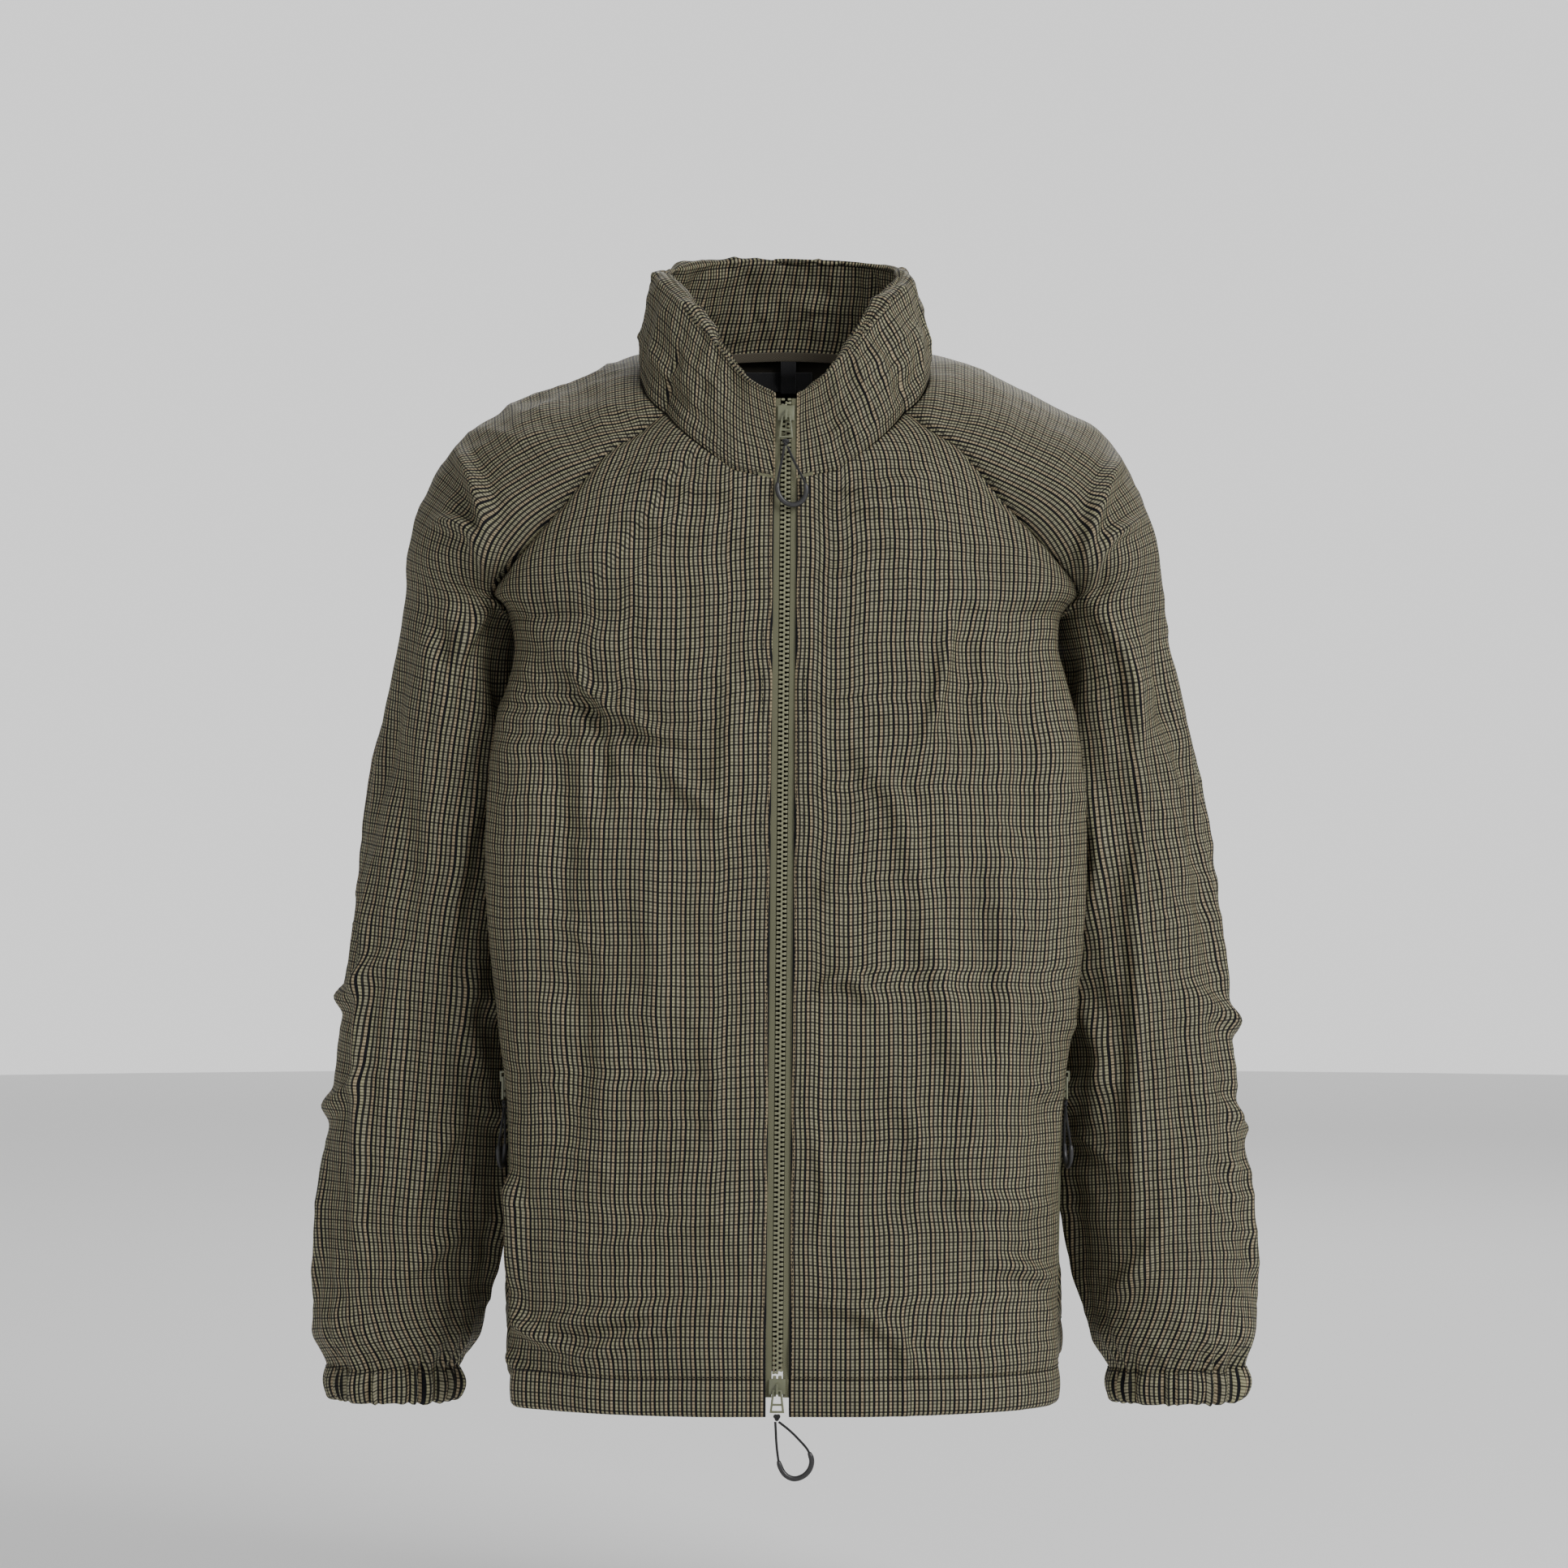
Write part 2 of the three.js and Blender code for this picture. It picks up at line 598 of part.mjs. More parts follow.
function addCollar() {
  const left = neckHalf(1);
  const right = neckHalf(-1);
  const posts = [...left, ...right.reverse().slice(1)];
  const row = (v, depth) => posts.map((post) => collarPoint(post, v, depth));
  const outer = [row(0, 0), row(0.35, 0), row(0.75, 0), row(1, 0), row(1, 0.5)];
  const inner = [row(1, 0.5), row(1, 1), row(0.6, 1), row(0, 1)];
  const axis = (rows) => (i) => V(0, 0, rows[i][Math.floor(posts.length / 2)].z);
  sheet("collar_outer", outer, axis(outer), { folded: true });
  inner.reverse();
  sheet("collar_inner", inner, axis(inner), { look: LINING, folded: true, flip: true });
  const filled = posts.filter((post) => post.share > 0.36);
  const rings = filled.map((post) => {
    const low = collarPoint(post, 0.42, 0.5);
    const high = collarPoint(post, 0.86, 0.5);
    const across = collarPoint(post, 0.64, 1).sub(collarPoint(post, 0.64, 0));
    const half = blend(V(0, 0, 0), across.setLength(COLLAR_PUFF / 2 - CLOTH / 2 - 1.4), 1);
    const centre = blend(low, high, 0.5).setZ((low.z + high.z) / 2 - RIM_ROUND);
    return ovalAt(centre, half, high.sub(low).multiplyScalar(0.5), 8);
  });
  add("stowed_hood", loft(rings), LINING);
}

// ---- neck tape, label and hanger loop ----
const NECK_TAPE_DEPTH = 4.7;
const LABEL = { width: 46, height: 13.5, thick: 0.8, x: -4, z: -5.2, back: 0.7 };
const HANGER = { width: 10.5, thick: 1, x: 2.5 };

function addNeckTrim() {
  const seam = BACK_ROWS[0];
  const tape = [-0.5, -4.5].map((z) =>
    seam.map((p) => p.clone().addScaledVector(V(-p.x, -p.y, 0).normalize(), NECK_TAPE_DEPTH).add(V(0, 0, z))),
  );
  sheet("neck_tape", tape, () => V(0, 0, NECK_BACK_Z), { thick: 0.8, look: OLIVE });
  const wall = BACK_ROWS[0][BACK_COLUMNS].y;
  const label = new THREE.BoxGeometry(LABEL.width, LABEL.thick, LABEL.height);
  const labelY = wall + LABEL.back;
  label.translate(LABEL.x, labelY, LABEL.z);
  add("neck_label", label, BLACK);
  const top = wall - NECK_TAPE_DEPTH - 0.4 - FIT - HANGER.thick / 2;
  const foot = labelY - LABEL.thick / 2 - FIT - HANGER.thick / 2;
  const line = [[top, 14.5], [top - 0.8, 9], [top - 2, 3], [top - 1, -4], [foot, -9.5], [foot, -13.5]];
  const strap = (shift) => line.map(([y, z]) => new THREE.Vector2(y + shift, z));
  const shape = new THREE.Shape([...strap(-HANGER.thick / 2), ...strap(HANGER.thick / 2).reverse()]);
  const geometry = new THREE.ExtrudeGeometry(shape, { depth: HANGER.width, bevelEnabled: false });
  // The outline's first axis becomes Y, its second Z, and it is pushed along X.
  geometry.applyMatrix4(new THREE.Matrix4().makeBasis(V(0, 1, 0), V(0, 0, 1), V(1, 0, 0)));
  geometry.translate(HANGER.x - HANGER.width / 2, 0, 0);
  add("hanger_loop", geometry, BLACK);
}

// ---- front facings and pocket bags, inside the front panels ----
function addInside(word, side) {
  const rows = FRONT_ROWS[side];
  const sink = V(0, 2 * TAPE_SINK, 0);
  const facing = rows.map(([p, q]) => [p.clone().add(sink), blend(p, q, 0.8).add(sink)]);
  sheet(`front_facing_${word}`, facing, (i) => torsoCentre(rows[i]), { look: LINING });
  const normals = gridNormals(rows, false);
  const out = Math.sign(normals[9][1].y) > 0 ? -1 : 1;
  const bag = [13, 14, 15, 16].map((i) =>
    [3, 4, 5, 6].map((j) => {
      const p = rows[i][j].clone().addScaledVector(normals[i][j], -out * POCKET_SINK);
      return j === 6 ? blend(p, rows[i][5], 0.12) : p;
    }),
  );
  sheet(`pocket_bag_${word}`, bag, (i) => torsoCentre(rows[i + 13]), { thick: 1.4, look: LINING });
}

// ---- zips ----
function prism(points, depth, holes = []) {
  const shape = new THREE.Shape(points.map(([x, y]) => new THREE.Vector2(x, y)));
  holes.forEach((hole) => shape.holes.push(new THREE.Path(hole.map(([x, y]) => new THREE.Vector2(x, y)))));
  return new THREE.ExtrudeGeometry(shape, { depth, bevelEnabled: false });
}

function toSolid(geometry) {
  const bare = geometry.clone();
  bare.deleteAttribute("normal");
  bare.deleteAttribute("uv");
  const merged = mergeVertices(bare);
  const vertProperties = new Float32Array(merged.attributes.position.array);
  const triVerts = new Uint32Array(merged.index.array);
  return new wasm.Manifold(new wasm.Mesh({ numProp: 3, vertProperties, triVerts }));
}

function fromSolid(solid) {
  const { vertProperties, triVerts } = solid.getMesh();
  const geometry = new THREE.BufferGeometry();
  geometry.setAttribute("position", new THREE.BufferAttribute(new Float32Array(vertProperties), 3));
  geometry.setIndex(new THREE.BufferAttribute(new Uint32Array(triVerts), 1));
  return geometry;
}

// A group whose Z runs up the zip and whose -Y faces out of the cloth.
function zipFrame(top, foot, outward) {
  const up = top.clone().sub(foot).normalize();
  const inward = outward.clone().negate();
  const across = inward.clone().cross(up).normalize();
  inward.copy(up.clone().cross(across));
  const frame = new THREE.Group();
  frame.quaternion.setFromRotationMatrix(new THREE.Matrix4().makeBasis(across, inward, up));
  frame.position.copy(top);
  group.add(frame);
  return frame;
}

// The bridge on a slider's front plate, which the pull turns in.
const ARCH = { length: 7, height: 3.6, bar: 1.2, width: 1.6, drop: 1.5 };

function archOn(plateY) {
  const { length, height, bar, width, drop } = ARCH;
  const sunk = -0.2;
  const half = length / 2;
  const outline = [
    [-half, sunk], [-half, height], [half, height], [half, sunk],
    [half - bar, sunk], [half - bar, height - bar], [bar - half, height - bar], [bar - half, sunk],
  ];
  const geometry = prism(outline, width);
  geometry.applyMatrix4(new THREE.Matrix4().makeBasis(V(0, 0, -1), V(0, -1, 0), V(-1, 0, 0)));
  geometry.translate(width / 2, plateY, -drop);
  return toSolid(geometry);
}

// A two-plate slider: both plates, a web between the rows of teeth, and side flanges.
function chainSlider() {
  const inner = CHAIN_THICK / 2 + FIT + 0.1;
  const outer = inner + PLATE;
  const slot = TAPE / 2 + FIT + 0.1;
  const [w, f, web] = [SLIDER_HALF, SLIDER_HALF - 0.8, CHAIN_SLOT / 2 - FIT];
  const quarter = [[w, outer], [w, slot], [f, slot], [f, inner], [web, inner]];
  const flip = (sx, sy, list) => list.map(([x, y]) => [sx * x, sy * y]);
  const outline = [
    ...flip(1, -1, quarter),
    ...flip(1, 1, [...quarter].reverse()),
    ...flip(-1, 1, quarter),
    ...flip(-1, -1, [...quarter].reverse()),
  ];
  const body = prism(outline, SLIDER_LENGTH).translate(0, 0, -SLIDER_LENGTH / 2);
  return { solid: toSolid(body).add(archOn(-outer)), plateY: -outer };
}

// A saddle slider that rides over a coil from outside.
function coilSlider() {
  const foot = FIT;
  const [inner, outer] = [COIL_HALF + FIT + 0.1, COIL_HALF + 1.5];
  const roof = COIL_THICK + FIT + 0.1;
  const top = roof + PLATE;
  const outline = [
    [-outer, -foot], [-outer, -top], [outer, -top], [outer, -foot],
    [inner, -foot], [inner, -roof], [-inner, -roof], [-inner, -foot],
  ];
  const body = prism(outline, SLIDER_LENGTH - 1).translate(0, 0, (1 - SLIDER_LENGTH) / 2);
  return { solid: toSolid(body).add(archOn(-top)), plateY: -top };
}

// A wire pull: a tapered frame with one crossbar, its top bar on the pivot.
function pullFrame() {
  const [w, half] = [PULL_WIRE, PULL_WIRE / 2];
  const foot = half - PULL_LENGTH;
  const widthAt = (z) => mix(3, 4.75, (half - z) / PULL_LENGTH);
  const window = (high, low) => [
    [-widthAt(high) + w, high], [widthAt(high) - w, high], [widthAt(low) - w, low], [-widthAt(low) + w, low],
  ];
  const outline = [
    [-widthAt(foot), foot], [widthAt(foot), foot], [widthAt(half), half], [-widthAt(half), half],
  ];
  const bar = foot + 4.6;
  const geometry = prism(outline, w, [window(-half, bar + w), window(bar, foot + w)]);
  geometry.applyMatrix4(new THREE.Matrix4().makeBasis(V(1, 0, 0), V(0, 0, 1), V(0, -1, 0)));
  return geometry.translate(0, half, 0);
}

// Loops of cord below their knots: (across, out, up) points down one strand, round the
// grip and back up the other.
const TOP_LOOP = [
  [-1, 0, -2.9], [-2, -0.3, -9], [-3.6, -0.7, -18], [-5, -1.2, -26.5], [-5.2, -1.5, -31.5],
  [-3.6, -1.6, -36.4], [0, -1.6, -40.2], [4.6, -1.6, -41.8], [9.4, -1.6, -40.4],
  [12.8, -1.6, -36.6], [13.8, -1.5, -31.5], [12.6, -1.3, -26.8], [9, -0.8, -19.5],
  [4.4, -0.4, -10.5], [1.1, 0, -2.9],
];
const FOOT_LOOP = [
  [-1, 0, -2.9], [-0.6, -0.6, -9.5], [-0.2, -1, -16], [0.7, -1.3, -24], [2.2, -1.4, -31],
  [5.8, -1.5, -36.8], [11, -1.5, -39.2], [16.8, -1.5, -37.8], [21.2, -1.5, -33.6],
  [22.8, -1.5, -27.8], [20.6, -1.4, -21.6], [14.6, -1.1, -14.4], [7.4, -0.6, -7.6], [1.2, 0, -2.9],
];
const GRIP_SPAN = [0.27, 0.7];
const LOOP_STEPS = 18;
const GRIP_STEPS = 9;

class Stretch extends THREE.Curve {
  constructor(base, from, to) {
    super();
    Object.assign(this, { base, from, to });
  }

  getPoint(t, target = new THREE.Vector3()) {
    return this.base.getPointAt(mix(this.from, this.to, t), target);
  }
}

const circle = (radius) =>
  range(8).map((k) => [radius * Math.cos((k * Math.PI) / 4), radius * Math.sin((k * Math.PI) / 4)]);

function tubeOn(path, radius, steps, bore = 0) {
  const shape = new THREE.Shape(circle(radius).map(([x, y]) => new THREE.Vector2(x, y)));
  if (bore) shape.holes.push(new THREE.Path(circle(bore).map(([x, y]) => new THREE.Vector2(x, y))));
  return new THREE.ExtrudeGeometry(shape, { steps, extrudePath: path, bevelEnabled: false });
}

function addPuller(name, frame, z, slider, route, offset, hand = 1) {
  const { solid, plateY } = slider;
  add(`${name}_slider`, fromSolid(solid), PAINTED, frame).position.set(0, offset, z);
  const pivotY = offset + plateY - (ARCH.height - ARCH.bar) / 2;
  const pivotZ = z - ARCH.drop - 1;
  add(`${name}_pull`, pullFrame(), PAINTED, frame).position.set(0, pivotY, pivotZ);
  const knotZ = pivotZ + PULL_WIRE / 2 - PULL_LENGTH - FIT - KNOT_RADIUS;
  const knot = new THREE.IcosahedronGeometry(KNOT_RADIUS, 1);
  add(`${name}_knot`, knot, BLACK, frame).position.set(0, pivotY, knotZ);
  const path = new THREE.CatmullRomCurve3(route.map(([x, y, up]) => V(hand * x, y, up)));
  const cord = add(`${name}_cord`, tubeOn(path, CORD_RADIUS, LOOP_STEPS), BLACK, frame);
  cord.position.set(0, pivotY, knotZ);
  const grip = tubeOn(new Stretch(path, ...GRIP_SPAN), GRIP_RADIUS, GRIP_STEPS, GRIP_BORE);
  add(`${name}_grip`, grip, BLACK, frame).position.set(0, pivotY, knotZ);
}

function box(x0, x1, thick, z0, z1, y = 0) {
  return new THREE.BoxGeometry(x1 - x0, thick, z1 - z0).translate((x0 + x1) / 2, y, (z0 + z1) / 2);
}

function addFrontZip() {
  const frame = zipFrame(ZIP_TOP, ZIP_FOOT, V(0, -1, 0));
  const length = ZIP_TOP.distanceTo(ZIP_FOOT);
  const [stop, pin] = [3.5, 14];
  names.forEach(([word, side]) => {
    const strip = (from, to, thick, low, high) => {
      const [x0, x1] = side > 0 ? [from, to] : [-to, -from];
      return box(x0, x1, thick, low, high, TAPE_SINK);
    };
    const tape = strip(CHAIN_HALF + FIT, TAPE_HALF, TAPE, -length, -2);
    add(`zip_tape_${word}`, tape, OLIVE, frame);
    const [root, edge] = [CHAIN_SLOT / 2, CHAIN_HALF];
    add(`zip_teeth_${word}`, strip(root, edge, CHAIN_THICK, pin - length + FIT, -stop - FIT), OLIVE, frame);
    add(`zip_top_stop_${word}`, strip(root + 0.3, edge, CHAIN_THICK, -stop, -2), OLIVE, frame);
    const foot = strip(root, edge - 0.4, CHAIN_THICK, 0.5 - length, pin - length);
    add(side > 0 ? "zip_insertion_pin" : "zip_retaining_pin", foot, OLIVE, frame);
  });
  addPuller("top", frame, -TOP_SLIDER_DROP, chainSlider(), TOP_LOOP, TAPE_SINK);
  addPuller("foot", frame, BOTTOM_SLIDER_RISE - length, chainSlider(), FOOT_LOOP, TAPE_SINK);
}

// Share of the way from the armpit to the hem casing at a height.
const shareAt = (z) => (ARMPIT_Z - z) / (ARMPIT_Z - HEM_Z - HEM_CASING);

function addPocketZip(word, side) {
  const outward = V(side * 0.985, 0.17, 0).normalize();
  const lift = CLOTH / 2 + POCKET_TAPE_LIFT;
  const end = (z) => {
    const p = frontSeam(shareAt(z));
    return V(side * p.x, p.y, p.z).addScaledVector(outward, lift);
  };
  const frame = zipFrame(end(POCKET_TOP_Z), end(POCKET_TOP_Z - POCKET_LENGTH), outward);
  const [w, c, coil] = [POCKET_TAPE_HALF, COIL_HALF, -COIL_THICK];
  const outline = [[-w, TAPE], [w, TAPE], [w, 0], [c, 0], [c, coil], [-c, coil], [-c, 0], [-w, 0]];
  const tape = prism(outline, POCKET_LENGTH).translate(0, -TAPE, -POCKET_LENGTH);
  add(`pocket_zip_${word}`, tape, OLIVE, frame);
  addPuller(`pocket_${word}`, frame, -TOP_SLIDER_DROP, coilSlider(), TOP_LOOP, -TAPE, -side);
}

addTorso();
names.forEach(([word, side]) => addSleeve(word, side));
names.forEach(([word, side]) => addInside(word, side));
addHem();
addCollar();
addNeckTrim();
sheets.forEach((s) => add(s.name, slab(s), s.look));
addHemCord();
addFrontZip();
names.forEach(([word, side]) => addPocketZip(word, side));

export default group;
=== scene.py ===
"""Zip jacket in micro-check cloth: shell, sleeves, collar, casings, trim, zips and pulls.

Shapes are worked out in millimetres, +Z up, with the front facing -Y, and are written to
the meshes in metres. "left" is the wearer's left, on +X.
"""

import logging
import math
from dataclasses import dataclass, field
from enum import Enum

import bmesh
import bpy
import numpy as np
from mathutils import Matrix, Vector


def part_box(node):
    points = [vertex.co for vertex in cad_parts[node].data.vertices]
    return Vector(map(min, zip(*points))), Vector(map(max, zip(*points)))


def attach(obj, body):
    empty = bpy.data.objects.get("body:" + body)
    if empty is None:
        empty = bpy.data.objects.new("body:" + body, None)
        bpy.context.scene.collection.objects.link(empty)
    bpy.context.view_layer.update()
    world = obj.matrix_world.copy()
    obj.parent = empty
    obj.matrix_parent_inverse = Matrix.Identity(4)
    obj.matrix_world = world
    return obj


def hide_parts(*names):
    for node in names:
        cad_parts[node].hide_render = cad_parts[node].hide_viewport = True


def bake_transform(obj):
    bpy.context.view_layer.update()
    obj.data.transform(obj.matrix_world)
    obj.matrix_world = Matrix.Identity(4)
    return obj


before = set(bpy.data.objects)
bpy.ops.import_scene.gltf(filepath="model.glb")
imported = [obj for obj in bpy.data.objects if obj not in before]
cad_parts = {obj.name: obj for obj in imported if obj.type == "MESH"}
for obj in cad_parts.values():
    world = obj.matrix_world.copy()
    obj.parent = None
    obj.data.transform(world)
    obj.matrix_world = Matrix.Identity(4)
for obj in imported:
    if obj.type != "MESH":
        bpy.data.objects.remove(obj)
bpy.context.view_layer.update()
LOG = logging.getLogger("jacket")
MM = 0.001
Array = np.ndarray
Piece = bpy.types.Object
Socket = bpy.types.NodeSocket
SIDES = (("left", 1), ("right", -1))
LEVEL = (1, 1, 0)
ZIP_TOP = (1, -92, -28)
ZIP_FOOT = (-5, -145, -681)
# Row numbers of the pattern: the armpit, the cuff's upper edge and the hem casing's.
ARMPIT_ROW = 8
CUFF_ROW = 18
HEM_ROW = 30
# Points along a line of stitches down a panel.
LINE_POINTS = 240


# ---- arithmetic ----
def mix(a: Array | float, b: Array | float, t: Array | float) -> Array | float:
    """Straight-line mix from a to b."""
    return a + (b - a) * t


def ease(t: Array | float) -> Array | float:
    """Smooth step: 0 below 0, 1 above 1, a cubic between."""
    u = np.clip(t, 0.0, 1.0)
    return u * u * (3 - 2 * u)


def unit(v: Array) -> Array:
    """Vectors scaled to length 1."""
    return v / np.maximum(np.linalg.norm(v, axis=-1, keepdims=True), 1e-9)


def through(stations: list, values: Array | list, at: Array | float) -> Array:
    """A smooth curve through stations: cubic Hermite pieces with centred slopes.

    Args:
        stations: increasing parameter values.
        values: one number or vector for each station.
        at: parameter values to read the curve at.

    Returns:
        The curve's values, shaped like at, then like one value.
    """
    x, y = np.asarray(stations, float), np.asarray(values, float)
    at = np.asarray(at, float)
    flat = y.reshape(len(x), -1)
    slope = np.gradient(flat, x, axis=0)
    k = np.clip(np.searchsorted(x, at, side="right") - 1, 0, len(x) - 2)
    span = (x[k + 1] - x[k])[..., None]
    u = np.clip((at - x[k])[..., None] / span, 0, 1)
    a, b = flat[k], flat[k + 1]
    low, high = slope[k] * span, slope[k + 1] * span
    value = (2 * u**3 - 3 * u**2 + 1) * a + (u**3 - 2 * u**2 + u) * low
    value = value + (3 * u**2 - 2 * u**3) * b + (u**3 - u**2) * high
    return value.reshape(at.shape + y.shape[1:])


def table(rows: list, at: Array | float) -> Array:
    """Smooth values of a table of (station, value) rows."""
    return through([row[0] for row in rows], [row[1] for row in rows], at)


def straight(rows: tuple, at: float) -> list[float]:
    """Straight-line values of a table of (station, (first, second)) rows."""
    stations = [row[0] for row in rows]
    return [np.interp(at, stations, [row[1][k] for row in rows]) for k in (0, 1)]


def run_length(points: Array) -> Array:
    """Length along a line of points, from its first point."""
    steps = np.linalg.norm(np.diff(points, axis=0), axis=1)
    return np.concatenate([[0.0], np.cumsum(steps)])


def row_runs(points: Array) -> Array:
    """Length along each row of a grid, from its first column."""
    steps = np.linalg.norm(np.diff(points, axis=1), axis=2)
    return np.concatenate([np.zeros((len(points), 1)), np.cumsum(steps, axis=1)], axis=1)


def foot_runs(points: Array) -> Array:
    """Length up each column of a grid, from its last row."""
    steps = np.linalg.norm(np.diff(points, axis=0), axis=2)[::-1]
    return np.concatenate([np.zeros((1, points.shape[1])), np.cumsum(steps, axis=0)])[::-1]


def read_line(at: Array, run: Array, vectors: Array) -> Array:
    """The vectors of a line, read at some lengths of its run by straight mixing."""
    return np.stack([np.interp(at, run, vectors[:, k]) for k in range(3)], axis=1)


def resample(points: Array, count: int, start: float = 0.0, stop: float = 1.0) -> Array:
    """Evenly spaced points between two shares of a line's length."""
    run = run_length(points)
    return read_line(np.linspace(start, stop, count) * run[-1], run, points)


def softened(points: Array, rounds: int) -> Array:
    """A line with its ripples averaged out: each point moves to the 1-2-1 mean, its ends stay."""
    soft = points.copy()
    for _ in range(rounds):
        soft[1:-1] = (soft[:-2] + soft[1:-1] * 2 + soft[2:]) / 4
    return soft


def node_box(node: str) -> tuple[Array, Array]:
    """The low and high corners of a node's box, in millimetres."""
    low, high = [np.array(corner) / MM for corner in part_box(node)]
    return low, high


class Noise:
    """Seeded value noise: random numbers on a lattice, eased between its points."""

    def __init__(self, seed: int) -> None:
        """Fills the lattice from the seed."""
        self.lattice = np.random.default_rng(seed).uniform(-1, 1, (32, 32, 32))

    def __call__(self, points: Array, size: tuple | float) -> Array:
        """Noise from -1 to 1 with cells of the given size.

        Args:
            points: places in millimetres.
            size: width of a cell, one number or one for each axis.

        Returns:
            One number for each point.
        """
        q = points / np.asarray(size, float)
        base = np.floor(q).astype(int)
        f = ease(q - base)
        total = np.zeros(points.shape[:-1])
        for dx, dy, dz in np.ndindex(2, 2, 2):
            corner = self.lattice[tuple((base[..., k] + d) % 32 for k, d in enumerate((dx, dy, dz)))]
            weight = np.ones(points.shape[:-1])
            for k, d in enumerate((dx, dy, dz)):
                weight = weight * (f[..., k] if d else 1 - f[..., k])
            total += corner * weight
        return total


# ---- folds and creases of the hanging cloth ----
FOLD_DEPTH = 2.9


class View(Enum):
    """The side a fold is drawn on: its two axes and the way the cloth faces."""

    FRONT = (0, 2, 1, -1)
    BACK = (0, 2, 1, 1)
    LEFT = (1, 2, 0, 1)
    RIGHT = (1, 2, 0, -1)


@dataclass(frozen=True)
class Fold:
    """One soft fold: a ridge, or a valley where its height is below 0.

    The height follows (1 - 0.7 d^2) exp(-d^2), d being the distance from the line in
    widths, and fades out towards both ends of the line.
    """

    view: View
    line: tuple
    width: float
    height: float

    def heights(self, points: Array, normals: Array) -> Array:
        """The fold's height over the cloth.

        Args:
            points: places on the cloth.
            normals: its unit normals, which keep the fold to its own side.

        Returns:
            Millimetres at each point.
        """
        i, j, facing, sign = self.view.value
        place = points[..., (i, j)]
        line = through([0, 0.5, 1], self.line, np.linspace(0, 1, 8))
        best = np.full(points.shape[:-1], np.inf)
        along = np.zeros(points.shape[:-1])
        for k in range(len(line) - 1):
            a, step = line[k], line[k + 1] - line[k]
            t = np.clip(((place - a) @ step) / (step @ step), 0, 1)
            gap = np.linalg.norm(place - a - t[..., None] * step, axis=-1)
            nearer = gap < best
            best = np.where(nearer, gap, best)
            along = np.where(nearer, (k + t) / (len(line) - 1), along)
        d2 = (best / self.width) ** 2
        fade = np.sin(math.pi * np.clip(along, 0.02, 0.98)) ** 0.5
        turned = ease(2.2 * sign * normals[..., facing])
        return FOLD_DEPTH * self.height * (1 - 0.7 * d2) * np.exp(-d2) * fade * turned


